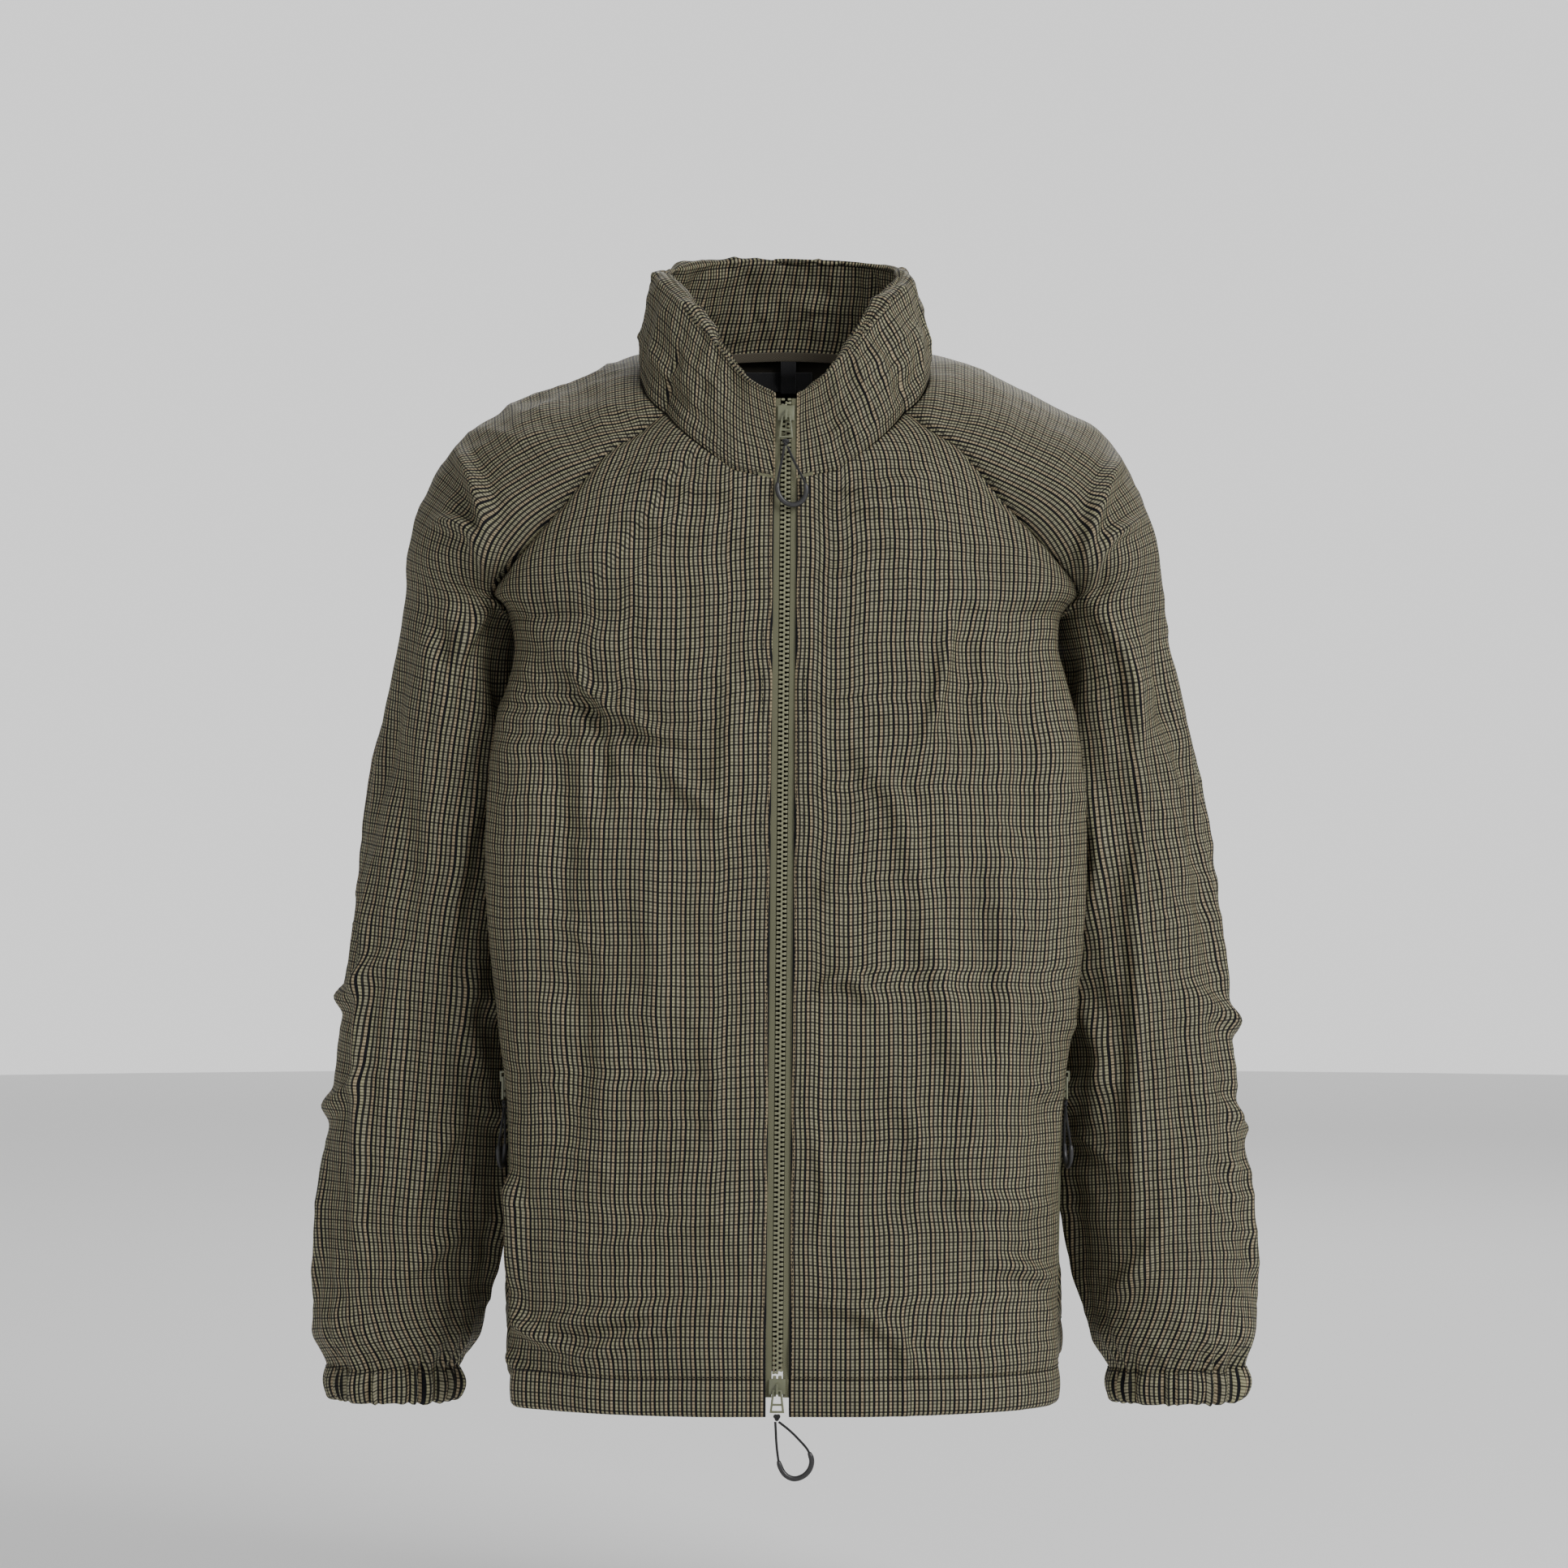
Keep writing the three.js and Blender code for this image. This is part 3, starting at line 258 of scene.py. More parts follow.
# Each row: three points along the fold, in its view's two axes, then its width and height.
FOLD_ROWS = {
    View.FRONT: (
        (-142, -206, -124, -228, -100, -243, 6, 3.6), (-107, -228, -90, -248, -55, -257, 6, 3.2),
        (-134, -221, -122, -251, -120, -302, 9, -2.4), (-80, -262, -63, -289, -34, -309, 9, 2.2),
        (-150, -265, -145, -313, -147, -367, 14, -2.2), (-177, -172, -145, -194, -112, -189, 12, 1.6),
        (-36, -210, -34, -248, -42, -292, 10, 1.5), (-172, -641, -90, -627, -17, -612, 9, 2.6),
        (-145, -664, -96, -643, -53, -627, 7, 2.2), (-123, -592, -74, -573, -28, -557, 10, 2),
        (-101, -484, -63, -478, -25, -465, 9, 1.4), (-51, -449, -44, -481, -47, -524, 8, 1.8),
        (-185, -541, -176, -568, -179, -622, 8, 3), (-179, -626, -166, -643, -136, -654, 6, 2.6),
        (-182, -657, -169, -671, -145, -676, 6, 2), (-145, -400, -134, -465, -145, -530, 16, -2.4),
        (-90, -346, -82, -411, -90, -476, 14, 1.6), (111, -178, 102, -221, 91, -256, 6, 3),
        (45, -259, 72, -297, 88, -348, 10, 2.4), (121, -172, 123, -221, 115, -265, 10, -1.8),
        (153, -205, 160, -265, 153, -324, 14, -2), (12, -110, 40, -102, 77, -101, 6, 1.7),
        (12, -152, 31, -144, 56, -140, 5, 1.5), (12, -194, 30, -189, 48, -187, 5, 1.4),
        (12, -233, 31, -227, 53, -218, 5, 1.6), (12, -294, 26, -286, 44, -275, 5, 1.5),
        (18, -423, 40, -409, 60, -428, 6, 2.8), (21, -355, 34, -348, 48, -341, 5, 1.6),
        (88, -348, 106, -438, 129, -522, 13, 2.6), (124, -329, 133, -400, 130, -465, 12, -2.4),
        (19, -516, 27, -546, 23, -576, 7, 2.2), (15, -623, 48, -627, 79, -655, 7, 2.6),
        (70, -627, 76, -654, 77, -679, 6, 2), (99, -541, 134, -557, 172, -561, 10, 1.8),
        (134, -597, 156, -601, 176, -611, 8, 2), (72, -481, 88, -519, 87, -562, 10, 1.8),
        (23, -87, 61, -89, 99, -80, 7, 1.8), (-99, -78, -58, -89, -17, -87, 8, 1.8),
        (-107, -108, -63, -118, -20, -116, 9, 1.2), (23, -121, 67, -123, 115, -108, 9, 1.2),
        (-220, -60, -200, -99, -192, -140, 7, 3.8), (-234, -108, -207, -116, -197, -143, 6, 3.2),
        (-195, -163, -217, -194, -228, -248, 8, 3), (-238, -170, -223, -205, -220, -248, 10, -2.6),
        (-203, -281, -217, -329, -223, -389, 9, 2.6), (-204, -400, -215, -438, -204, -486, 10, 2.4),
        (-284, -216, -285, -411, -287, -606, 7, 2.6), (-220, -514, -242, -546, -258, -584, 10, 2.2),
        (-269, -619, -242, -600, -218, -584, 9, 2.2), (-264, -248, -253, -324, -258, -400, 15, -2.2),
        (-253, -427, -250, -481, -264, -541, 12, -2), (223, -64, 205, -108, 199, -143, 7, 3.6),
        (239, -108, 213, -124, 202, -159, 6, 3), (207, -164, 230, -200, 237, -248, 8, 2.6),
        (250, -162, 258, -205, 256, -259, 10, -2.4), (201, -281, 211, -329, 205, -389, 9, 2.6),
        (197, -427, 214, -465, 207, -519, 9, 2.2), (236, -194, 237, -384, 234, -606, 8, 2.4),
        (277, -248, 297, -411, 304, -595, 7, 2.4), (221, -627, 240, -606, 256, -573, 8, 2.4),
        (261, -400, 267, -476, 261, -546, 13, -2),
    ),
    View.BACK: (
        (-150, -150, -120, -215, -60, -260, 12, 3), (150, -150, 118, -205, 70, -270, 12, 3),
        (-70, -60, -78, -160, -66, -280, 16, -2.4), (74, -60, 70, -180, 80, -300, 16, -2.4),
        (-30, -250, -34, -400, -22, -560, 14, 2.4), (40, -300, 30, -440, 44, -600, 15, 2.2),
        (-110, -330, -122, -460, -104, -610, 16, -2.6), (112, -340, 104, -480, 120, -620, 15, -2.6),
        (-140, -600, -70, -630, -10, -622, 10, 2), (20, -636, 80, -620, 140, -640, 10, 2),
        (-232, -90, -205, -150, -196, -230, 10, 3), (232, -90, 208, -150, 200, -230, 10, 3),
        (-250, -360, -230, -410, -215, -430, 9, 2.8), (252, -370, 232, -420, 216, -440, 9, 2.8),
        (-270, -440, -246, -470, -220, -468, 8, 2.4), (274, -450, 248, -480, 224, -478, 8, 2.4),
    ),
    View.LEFT: (
        (-30, -180, 0, -300, -14, -420, 14, -2.4), (60, -200, 40, -330, 56, -470, 12, 2.4),
        (-30, -420, 10, -446, 60, -440, 9, 2.4), (-20, -500, 20, -520, 60, -512, 9, 2.2),
        (10, -520, 4, -580, 16, -640, 10, 2.4),
    ),
    View.RIGHT: (
        (-24, -190, 6, -310, -10, -430, 14, -2.4), (58, -210, 46, -320, 60, -450, 12, 2.4),
        (-34, -400, 6, -430, 56, -420, 9, 2.4), (-26, -480, 16, -505, 58, -498, 9, 2.2),
        (12, -530, 6, -590, 14, -640, 10, 2.4),
    ),
}
FOLDS = tuple(
    Fold(view, (row[0:2], row[2:4], row[4:6]), *row[6:]) for view, rows in FOLD_ROWS.items() for row in rows
)


@dataclass
class Drape:
    """How the cloth departs from its smooth pattern: drape, crumple and folds."""

    broad: float = 2.9
    crumple: float = 2.1
    fine: float = 0.24
    noise: Noise = field(default_factory=lambda: Noise(11))
    creases: Noise = field(default_factory=lambda: Noise(29))

    def heights(self, points: Array, normals: Array) -> Array:
        """Height of the cloth over its smooth pattern.

        Broad drape is long upright noise; crumple is the ridge 1 - |noise|, only where
        a wide noise lets it show. The folds are added to both.

        Args:
            points: places on the smooth pattern.
            normals: its unit normals.

        Returns:
            Millimetres at each point.
        """
        warp = np.stack([self.noise(points + s, 60) for s in (13, 57, 91)], axis=-1) * 9
        bent = points + warp
        height = self.broad * self.noise(bent, (46, 46, 130))
        patch = ease(0.5 + self.noise(points + 40, 110))
        ridge = 0.5 - np.abs(self.creases(bent, (34, 34, 46))) * 1.6
        height = height + self.crumple * patch * ridge
        slant = points @ np.array([[0.8, 0, 0.6], [0, 1, 0], [-0.6, 0, 0.8]]) + warp * 0.6
        slanted = 0.4 - np.abs(self.creases(slant + 7, (44, 44, 15))) * 1.5
        height = height + self.crumple * patch * slanted
        height = height + 0.5 * self.crumple * (0.4 - np.abs(self.creases(bent + 77, (17, 17, 22))))
        height = height + self.fine * self.creases(points + 19, 8)
        for fold in FOLDS:
            height = height + fold.heights(bent * 0.25 + points * 0.75, normals)
        return height


# ---- meshes ----
def add_object(name: str, data: bpy.types.ID) -> Piece:
    """A new object of the scene, at the origin."""
    thing = bpy.data.objects.new(name, data)
    bpy.context.scene.collection.objects.link(thing)
    return thing


def new_mesh(name: str, points: Array, faces: list, uv: Array | None = None) -> Piece:
    """A smooth-shaded object from points in millimetres.

    Args:
        name: the piece's name.
        points: one row for each vertex.
        faces: lists of vertex numbers.
        uv: millimetres across and along the cloth, one row for each face corner.

    Returns:
        The linked object, at the origin.
    """
    mesh = bpy.data.meshes.new(name)
    mesh.from_pydata((np.asarray(points) * MM).tolist(), [], faces)
    if uv is not None:
        mesh.uv_layers.new(name="UVMap").data.foreach_set("uv", (uv * MM).ravel())
    mesh.shade_smooth()
    return add_object(name, mesh)


def thicken(piece: Piece, thickness: float) -> None:
    """Gives a panel its thickness inward, with the lining as the second material."""
    solid = piece.modifiers.new("cloth thickness", "SOLIDIFY")
    solid.thickness = thickness * MM
    solid.offset = -1
    solid.material_offset = 1


def cell_corners(grid: Array) -> Array:
    """The four corners of every cell of a grid, in turn."""
    return np.stack([grid[:-1, :-1], grid[:-1, 1:], grid[1:, 1:], grid[1:, :-1]], axis=2)


def quad_normals(points: Array, quads: Array) -> Array:
    """Normals of quads, unscaled: the cross product of their diagonals."""
    return np.cross(points[quads[:, 2]] - points[quads[:, 0]], points[quads[:, 3]] - points[quads[:, 1]])


@dataclass
class Panel:
    """A panel of cloth as a grid of points, rows running down and columns across."""

    name: str
    points: Array
    inside: Array
    closed_from: int | None = None
    uv: Array | None = None
    normals: Array = field(init=False)

    def __post_init__(self) -> None:
        """Works out the normals of the smooth pattern."""
        self.turn()

    def turn(self) -> None:
        """Normals from the grid's two directions, turned away from the inside points."""
        across, down = np.gradient(self.points, axis=1), np.gradient(self.points, axis=0)
        normals = unit(np.cross(across, down))
        if self.closed_from is not None:
            joined = unit(normals[self.closed_from :, 0] + normals[self.closed_from :, -1])
            normals[self.closed_from :, 0] = joined
            normals[self.closed_from :, -1] = joined
        self.normals = normals
        self.face(self.points - self.inside[:, None, :])

    def face(self, outward: Array) -> None:
        """Turns all the normals round if together they point against outward."""
        if np.sum(self.normals * outward) <= 0:
            self.normals = -self.normals

    def raise_by(self, heights: Array) -> None:
        """Moves every point out along its normal."""
        self.points = self.points + self.normals * heights[..., None]

    def at(self, row: Array, column: Array) -> tuple[Array, Array]:
        """Points and normals between the grid's points, by straight mixing.

        Args:
            row: places down the grid, in rows.
            column: places across the grid, in columns.

        Returns:
            Points and unit normals.
        """
        rows, cols = self.points.shape[:2]
        row, column = np.clip(row, 0, rows - 1.001), np.clip(column, 0, cols - 1.001)
        i, j = row.astype(int), column.astype(int)
        u, v = (row - i)[..., None], (column - j)[..., None]
        found = [mix(mix(grid[i, j], grid[i + 1, j], u), mix(grid[i, j + 1], grid[i + 1, j + 1], u), v)
                 for grid in (self.points, self.normals)]
        return found[0], unit(found[1])

    def build(self, thickness: float = 0.9) -> Piece:
        """The panel's mesh, joined where the grid closes on itself.

        Args:
            thickness: of cloth and lining, inward.

        Returns:
            The object.
        """
        rows, cols = self.points.shape[:2]
        index = np.arange(rows * cols).reshape(rows, cols)
        if self.closed_from is not None:
            index[self.closed_from :, -1] = index[self.closed_from :, 0]
        quads = cell_corners(index).reshape(-1, 4)
        uv = cell_corners(self.uv).reshape(-1, 4, 2)
        flat = self.points.reshape(-1, 3)
        if np.sum(quad_normals(flat, quads) * self.normals.reshape(-1, 3)[quads[:, 0]]) < 0:
            quads, uv = quads[:, ::-1], uv[:, ::-1]
        used, compact = np.unique(quads, return_inverse=True)
        piece = new_mesh(self.name, flat[used], compact.reshape(-1, 4).tolist(), uv)
        if thickness:
            thicken(piece, thickness)
        return piece


def upright_uv(points: Array, origin: int) -> Array:
    """Threads of an upright panel: across along the rows from one column, and up by height
    and depth along the columns from the lowest row."""
    u = row_runs(points)
    return np.stack([u - u[:, origin : origin + 1], foot_runs(points[..., 1:])], axis=-1)


def sweep(
    name: str, path: Array, side: Array | tuple, up: Array | tuple, section: Array, closed: bool = False
) -> Piece:
    """A section carried along a path, its x along side and its y along up.

    Args:
        name: the piece's name.
        path: points in millimetres.
        side: unit vectors, one for each point or one for all.
        up: unit vectors, one for each point or one for all.
        section: a closed outline, or one outline for each point of the path.
        closed: whether the path's end joins its start.

    Returns:
        The object, with caps where it is open.
    """
    side, up = np.broadcast_to(side, path.shape), np.broadcast_to(up, path.shape)
    section = np.broadcast_to(section, (len(path),) + section.shape[-2:])
    rings = path[:, None] + section[..., :1] * side[:, None] + section[..., 1:] * up[:, None]
    n, k = rings.shape[:2]
    i = np.arange(n if closed else n - 1)[:, None]
    j = np.arange(k)[None, :]
    next_ring, beside = (i + 1) % n, (j + 1) % k
    quads = np.stack([i * k + j, i * k + beside, next_ring * k + beside, next_ring * k + j], axis=-1)
    quads = quads.reshape(-1, 4)
    girth = run_length(np.vstack([rings[0], rings[0, :1]]))
    length = np.append(run_length(path), run_length(path)[-1] + np.linalg.norm(path[0] - path[-1]))
    cells = (len(i), k, 4)
    u = np.broadcast_to(np.stack([girth[j], girth[j + 1], girth[j + 1], girth[j]], -1), cells)
    v = np.broadcast_to(np.stack([length[i], length[i], length[i + 1], length[i + 1]], -1), cells)
    uv = np.stack([u, v], axis=-1).reshape(-1, 4, 2)
    flat = rings.reshape(-1, 3)
    outward = flat[quads[:, 0]] - np.repeat(path[: len(i)], k, axis=0)
    turned = np.sum(quad_normals(flat, quads) * outward) < 0
    faces, corners = quads.tolist(), uv.reshape(-1, 2)
    if turned:
        faces, corners = quads[:, ::-1].tolist(), uv[:, ::-1].reshape(-1, 2)
    if not closed:
        first, last = list(range(k)), list(range((n - 1) * k, n * k))
        faces += [first, last[::-1]] if turned else [first[::-1], last]
        corners = np.vstack([corners, np.zeros((2 * k, 2))])
    return new_mesh(name, flat, faces, corners)


def oval(a: float, b: float, sides: int = 12, power: float = 1.0) -> Array:
    """An oval outline. A power under 1 squares it towards a rounded box."""
    t = np.linspace(0, 2 * math.pi, sides, endpoint=False)
    ring = np.stack([np.cos(t), np.sin(t)], axis=1)
    return np.sign(ring) * np.abs(ring) ** power * (a, b)


def path_frames(path: Array, closed: bool = False) -> tuple[Array, Array]:
    """Two unit vectors across a path at each point, from one fixed helper direction."""
    step = np.roll(path, -1, 0) - np.roll(path, 1, 0) if closed else np.gradient(path, axis=0)
    along = unit(step)
    spread = path.max(axis=0) - path.min(axis=0)
    helper = np.eye(3)[int(np.argmin(spread))]
    side = unit(np.cross(along, helper))
    return side, np.cross(side, along)


def tube(
    name: str, path: Array, radius: Array | float, sides: int = 12, closed: bool = False
) -> Piece:
    """A round tube along a path, its radius one number or one for each point."""
    side, up = path_frames(path, closed)
    radii = np.broadcast_to(radius, len(path))
    return sweep(name, path, side, up, oval(1, 1, sides)[None] * radii[:, None, None], closed)


def stamp(name: str, shape: tuple[Array, list], places: Array, axes: Array) -> Piece:
    """Many copies of a small shape in one mesh.

    Args:
        name: the piece's name.
        shape: points and faces of one copy, in its own axes.
        places: where each copy goes.
        axes: for each copy, three unit vectors as rows, for the shape's x, y and z.

    Returns:
        The object.
    """
    points, faces = shape
    copies = places[:, None] + np.einsum("pk,nkd->npd", points, axes)
    shift = np.arange(len(places)) * len(points)
    every = []
    for face in faces:
        every += (shift[:, None] + np.asarray(face)[None]).tolist()
    return new_mesh(name, copies.reshape(-1, 3), every)


def layered(outline: Array, layers: tuple) -> tuple[Array, list]:
    """A closed shape from one outline in x and z, at several depths along y.

    Args:
        outline: counter-clockwise points as seen from -y.
        layers: (y, scale) pairs from front to back.

    Returns:
        Points and faces.
    """
    k = len(outline)
    rings = [np.stack([outline[:, 0] * s, np.full(k, y), outline[:, 1] * s], 1) for y, s in layers]
    faces = [list(range(k))]
    for start in range(0, k * (len(layers) - 1), k):
        pairs = [(start + j, start + (j + 1) % k) for j in range(k)]
        faces += [[beside, here, here + k, beside + k] for here, beside in pairs]
    faces.append([(len(layers) - 1) * k + j for j in range(k)][::-1])
    return np.concatenate(rings), faces


@dataclass(frozen=True)
class Stitching:
    """Rows of lockstitch: short spindles of thread that sink into the cloth at both ends."""

    pitch: float = 3.0
    length: float = 2.2
    radius: float = 0.34

    def spindle(self) -> tuple[Array, list]:
        """One stitch along z, thickest in the middle."""
        rings = ((-0.5, 0.25), (-0.32, 0.85), (0, 1.0), (0.32, 0.85), (0.5, 0.25))
        points = np.concatenate([
            np.column_stack([oval(1, 1, 6) * girth * self.radius, np.full(6, share * self.length)])
            for share, girth in rings
        ])
        faces = [[i * 6 + j, i * 6 + (j + 1) % 6, i * 6 + 6 + (j + 1) % 6, i * 6 + 6 + j]
                 for i in range(4) for j in range(6)]
        return points, faces + [[5, 4, 3, 2, 1, 0], [24, 25, 26, 27, 28, 29]]

    def sew(self, name: str, lines: list[tuple[Array, Array]]) -> Piece:
        """Stitches along lines of points with normals.

        Args:
            name: the piece's name.
            lines: pairs of points and normals.

        Returns:
            One object with every stitch.
        """
        places, axes = [], []
        for points, normals in lines:
            run = run_length(points)
            at = np.arange(self.pitch, run[-1] - self.pitch / 2, self.pitch)
            along = unit(read_line(at, run, np.gradient(points, axis=0)))
            out = unit(read_line(at, run, normals))
            across = unit(np.cross(out, along))
            places.append(read_line(at, run, points) + out * self.radius * 0.35)
            axes.append(np.stack([across, out, along], axis=1))
        return stamp(name, self.spindle(), np.concatenate(places), np.concatenate(axes))


# ---- materials ----
def linear(red: int, green: int, blue: int) -> tuple:
    """A display colour as linear values with full alpha."""
    parts = [((c / 255 + 0.055) / 1.055) ** 2.4 if c > 10 else c / 255 / 12.92 for c in (red, green, blue)]
    return (*parts, 1.0)


class Nodes:
    """Adds and joins nodes of one tree."""

    def __init__(self, tree: bpy.types.NodeTree) -> None:
        """Keeps the tree."""
        self.tree = tree

    def add(self, kind: str, inputs: dict | None = None, **settings) -> bpy.types.Node:
        """A node with its settings and inputs.

        Args:
            kind: the node's type name, without the prefix ShaderNode.
            inputs: values or sockets by input name or number.
            settings: properties of the node.

        Returns:
            The node.
        """
        node = self.tree.nodes.new("ShaderNode" + kind)
        for key, value in settings.items():
            setattr(node, key, value)
        for key, value in (inputs or {}).items():
            self.put(node.inputs[key], value)
        return node

    def put(self, socket: Socket, value: object) -> None:
        """Links a socket to an input, or sets its value."""
        if isinstance(value, Socket):
            self.tree.links.new(value, socket)
        else:
            socket.default_value = value

    def math(self, operation: str, *values: object) -> Socket:
        """The result of a Math node."""
        return self.add("Math", dict(enumerate(values)), operation=operation).outputs[0]

    def band(self, distance: object, half: float, soft: float) -> Socket:
        """1 within half of a line and 0 past half plus soft."""
        limits = {"From Min": half, "From Max": half + soft, "To Min": 1.0, "To Max": 0.0}
        node = self.add("MapRange", {"Value": distance, **limits}, interpolation_type="SMOOTHSTEP")
        return node.outputs["Result"]

    def blend(self, factor: object, a: object, b: object, mode: str = "MIX") -> Socket:
        """The colour output of a Mix node."""
        node = self.add("Mix", data_type="RGBA", blend_type=mode)
        self.put(node.inputs["Factor"], factor)
        self.put(node.inputs[6], a)
        self.put(node.inputs[7], b)
        return node.outputs[2]


class Effects:
    """Node groups that several finishes share, each built once."""

    def __init__(self) -> None:
        """Builds the groups."""
        self.check = self.build_check()
        self.weave = self.build_weave()
        self.dust = self.build_dust()
        self.creases = self.build_creases()

    @staticmethod
    def start(name: str, inputs: dict, outputs: dict) -> tuple:
        """A new group with its sockets.

        Args:
            name: the group's name.
            inputs: socket kinds by name.
            outputs: socket kinds by name.

        Returns:
            The group, its node adder, and its input and output nodes.
        """
        group = bpy.data.node_groups.new(name, "ShaderNodeTree")
        for direction, sockets in (("INPUT", inputs), ("OUTPUT", outputs)):
            for label, kind in sockets.items():
                kind = "NodeSocket" + kind
                group.interface.new_socket(name=label, in_out=direction, socket_type=kind)
        adder = Nodes(group)
        return group, adder, group.nodes.new("NodeGroupInput"), group.nodes.new("NodeGroupOutput")

    def build_check(self) -> bpy.types.NodeTree:
        """Micro check: dark warp lines every pitch, each third one stronger, and groups of
        three weft lines, over ground columns of three close colours."""
        takes = {"Vector": "Vector", "Light": "Color", "Dark": "Color"}
        group, n, given, result = self.start("micro check", takes, {"Color": "Color", "Height": "Float"})
        warp, weft, side_line, thread = 3.05, 6.8, 2.2, 0.42
        split = n.add("SeparateXYZ", {"Vector": given.outputs["Vector"]})
        u = n.math("MULTIPLY", split.outputs[0], 1000.0)
        v = n.math("MULTIPLY", split.outputs[1], 1000.0)

        def near(place: Socket, pitch: float) -> Socket:
            """How far a place is from the nearest line."""
            return n.math("PINGPONG", n.math("ADD", place, 1000 * pitch), pitch / 2)

        plain = n.math("MULTIPLY", n.band(near(u, warp), 0.56, 0.26), 0.95)
        strong = n.band(near(u, 3 * warp), 0.7, 0.26)
        warps = n.math("MAXIMUM", plain, strong)
        off = near(v, weft)
        core = n.math("MULTIPLY", n.band(off, 0.42, 0.3), 0.84)
        flank = n.band(n.math("ABSOLUTE", n.math("SUBTRACT", off, side_line)), 0.3, 0.34)
        wefts = n.math("MAXIMUM", core, n.math("MULTIPLY", flank, 0.6))
        column = n.math("FRACT", n.math("DIVIDE", n.math("ADD", u, 1000 * warp), 3 * warp))
        ramp = n.add("ValToRGB", {0: column})
        ramp.color_ramp.interpolation = "CONSTANT"
        stops = ramp.color_ramp.elements
        stops.new(0.5)
        tones = ((1.0, 1.03, 0.94, 1), (1.07, 0.96, 0.9, 1), (0.9, 0.92, 0.92, 1))
        for stop, place, tone in zip(stops, (0.0, 0.334, 0.667), tones):
            stop.position = place
            stop.color = tone
        ground = n.blend(1.0, given.outputs["Light"], ramp.outputs[0], "MULTIPLY")
        in_mm = {0: given.outputs["Vector"], 1: (1000.0, 1000.0, 0.0)}
        flat_uv = n.add("VectorMath", in_mm, operation="MULTIPLY")
        slub = n.add("TexNoise", {"Vector": flat_uv.outputs[0], "Scale": 0.9, "Detail": 3.0})
        limits = {"From Min": 0.3, "From Max": 0.7, "To Min": 0.78, "To Max": 1.16}
        uneven = n.add("MapRange", {"Value": slub.outputs[0], **limits})
        ground = n.blend(1.0, ground, uneven.outputs[0], "MULTIPLY")
        dark = given.outputs["Dark"]
        lined = n.blend(warps, ground, dark)
        crossed = n.blend(wefts, lined, n.blend(warps, dark, (0.0035, 0.0035, 0.006, 1)))
        n.put(result.inputs["Color"], crossed)
        ribs = n.math("SINE", n.math("MULTIPLY", u, 2 * math.pi / thread))
        rows = n.math("SINE", n.math("MULTIPLY", v, 2 * math.pi / thread))
        n.put(result.inputs["Height"], n.math("MULTIPLY", ribs, rows))
        return group

    def build_weave(self) -> bpy.types.NodeTree:
        """Twill ribs: a slanted wave across the tape or webbing, bent into a small zigzag."""
        group, n, given, result = self.start(
            "ribbed weave", {"Vector": "Vector", "Pitch": "Float"}, {"Height": "Float", "Shade": "Float"}
        )
        split = n.add("SeparateXYZ", {"Vector": given.outputs["Vector"]})
        zigzag = n.math("PINGPONG", split.outputs[0], 0.0011)
        slanted = n.math("ADD", split.outputs[2], n.math("ADD", zigzag, split.outputs[1]))
        turns = n.math("MULTIPLY", slanted, 2 * math.pi)
        wave = n.math("SINE", n.math("DIVIDE", turns, given.outputs["Pitch"]))
        n.put(result.inputs["Height"], wave)
        # Shade repeats the rib wave, so the colour is darker in the ribs' valleys: painted shade of the ribs.
        n.put(result.inputs["Shade"], n.math("MULTIPLY_ADD", wave, 0.16, 0.86))
        return group

    def build_dust(self) -> bpy.types.NodeTree:
        """Wide uneven fading, as on cloth and paint that have been handled."""
        takes = {"Size": "Float", "Depth": "Float"}
        group, n, given, result = self.start("uneven fading", takes, {"Shade": "Float"})
        place = n.add("TexCoord")
        scale = n.math("DIVIDE", 1.0, given.outputs["Size"])
        cloud = n.add("TexNoise", {"Vector": place.outputs["Object"], "Scale": scale, "Detail": 4.0})
        depth = given.outputs["Depth"]
        centred = n.math("SUBTRACT", cloud.outputs[0], 0.5)
        n.put(result.inputs["Shade"], n.math("MULTIPLY_ADD", centred, n.math("MULTIPLY", depth, 2.0), 1.0))
        return group

    def build_creases(self) -> bpy.types.NodeTree:
        """Thin sharp creases of stiff cloth: ridged noise, in patches, over a bent place."""
        group, n, _, result = self.start("fine creases", {}, {"Height": "Float"})
        place = n.add("TexCoord")
        bend = n.add("TexNoise", {"Vector": place.outputs["Object"], "Scale": 9.0})
        bent = {0: bend.outputs["Color"], 1: (0.05, 0.05, 0.05), 2: place.outputs["Object"]}
        moved = n.add("VectorMath", bent, operation="MULTIPLY_ADD")
        lines = {"Vector": moved.outputs[0], "Scale": 24.0, "Detail": 2.0, "Roughness": 0.4}
        ridge = n.add("TexNoise", lines)
        sharp = n.math("ABSOLUTE", n.math("SUBTRACT", ridge.outputs[0], 0.5))
        where = n.add("TexNoise", {"Vector": place.outputs["Object"], "Scale": 6.0})
        patch = n.add("MapRange", {"Value": where.outputs[0], "From Min": 0.4, "From Max": 0.62})
        n.put(result.inputs["Height"], n.math("MULTIPLY", n.math("MULTIPLY", sharp, -7.0), patch.outputs[0]))
        return group


class Pattern(Enum):
    """What a finish shows close up."""

    CHECK = "check"
    WEAVE = "weave"
    SMOOTH = "smooth"


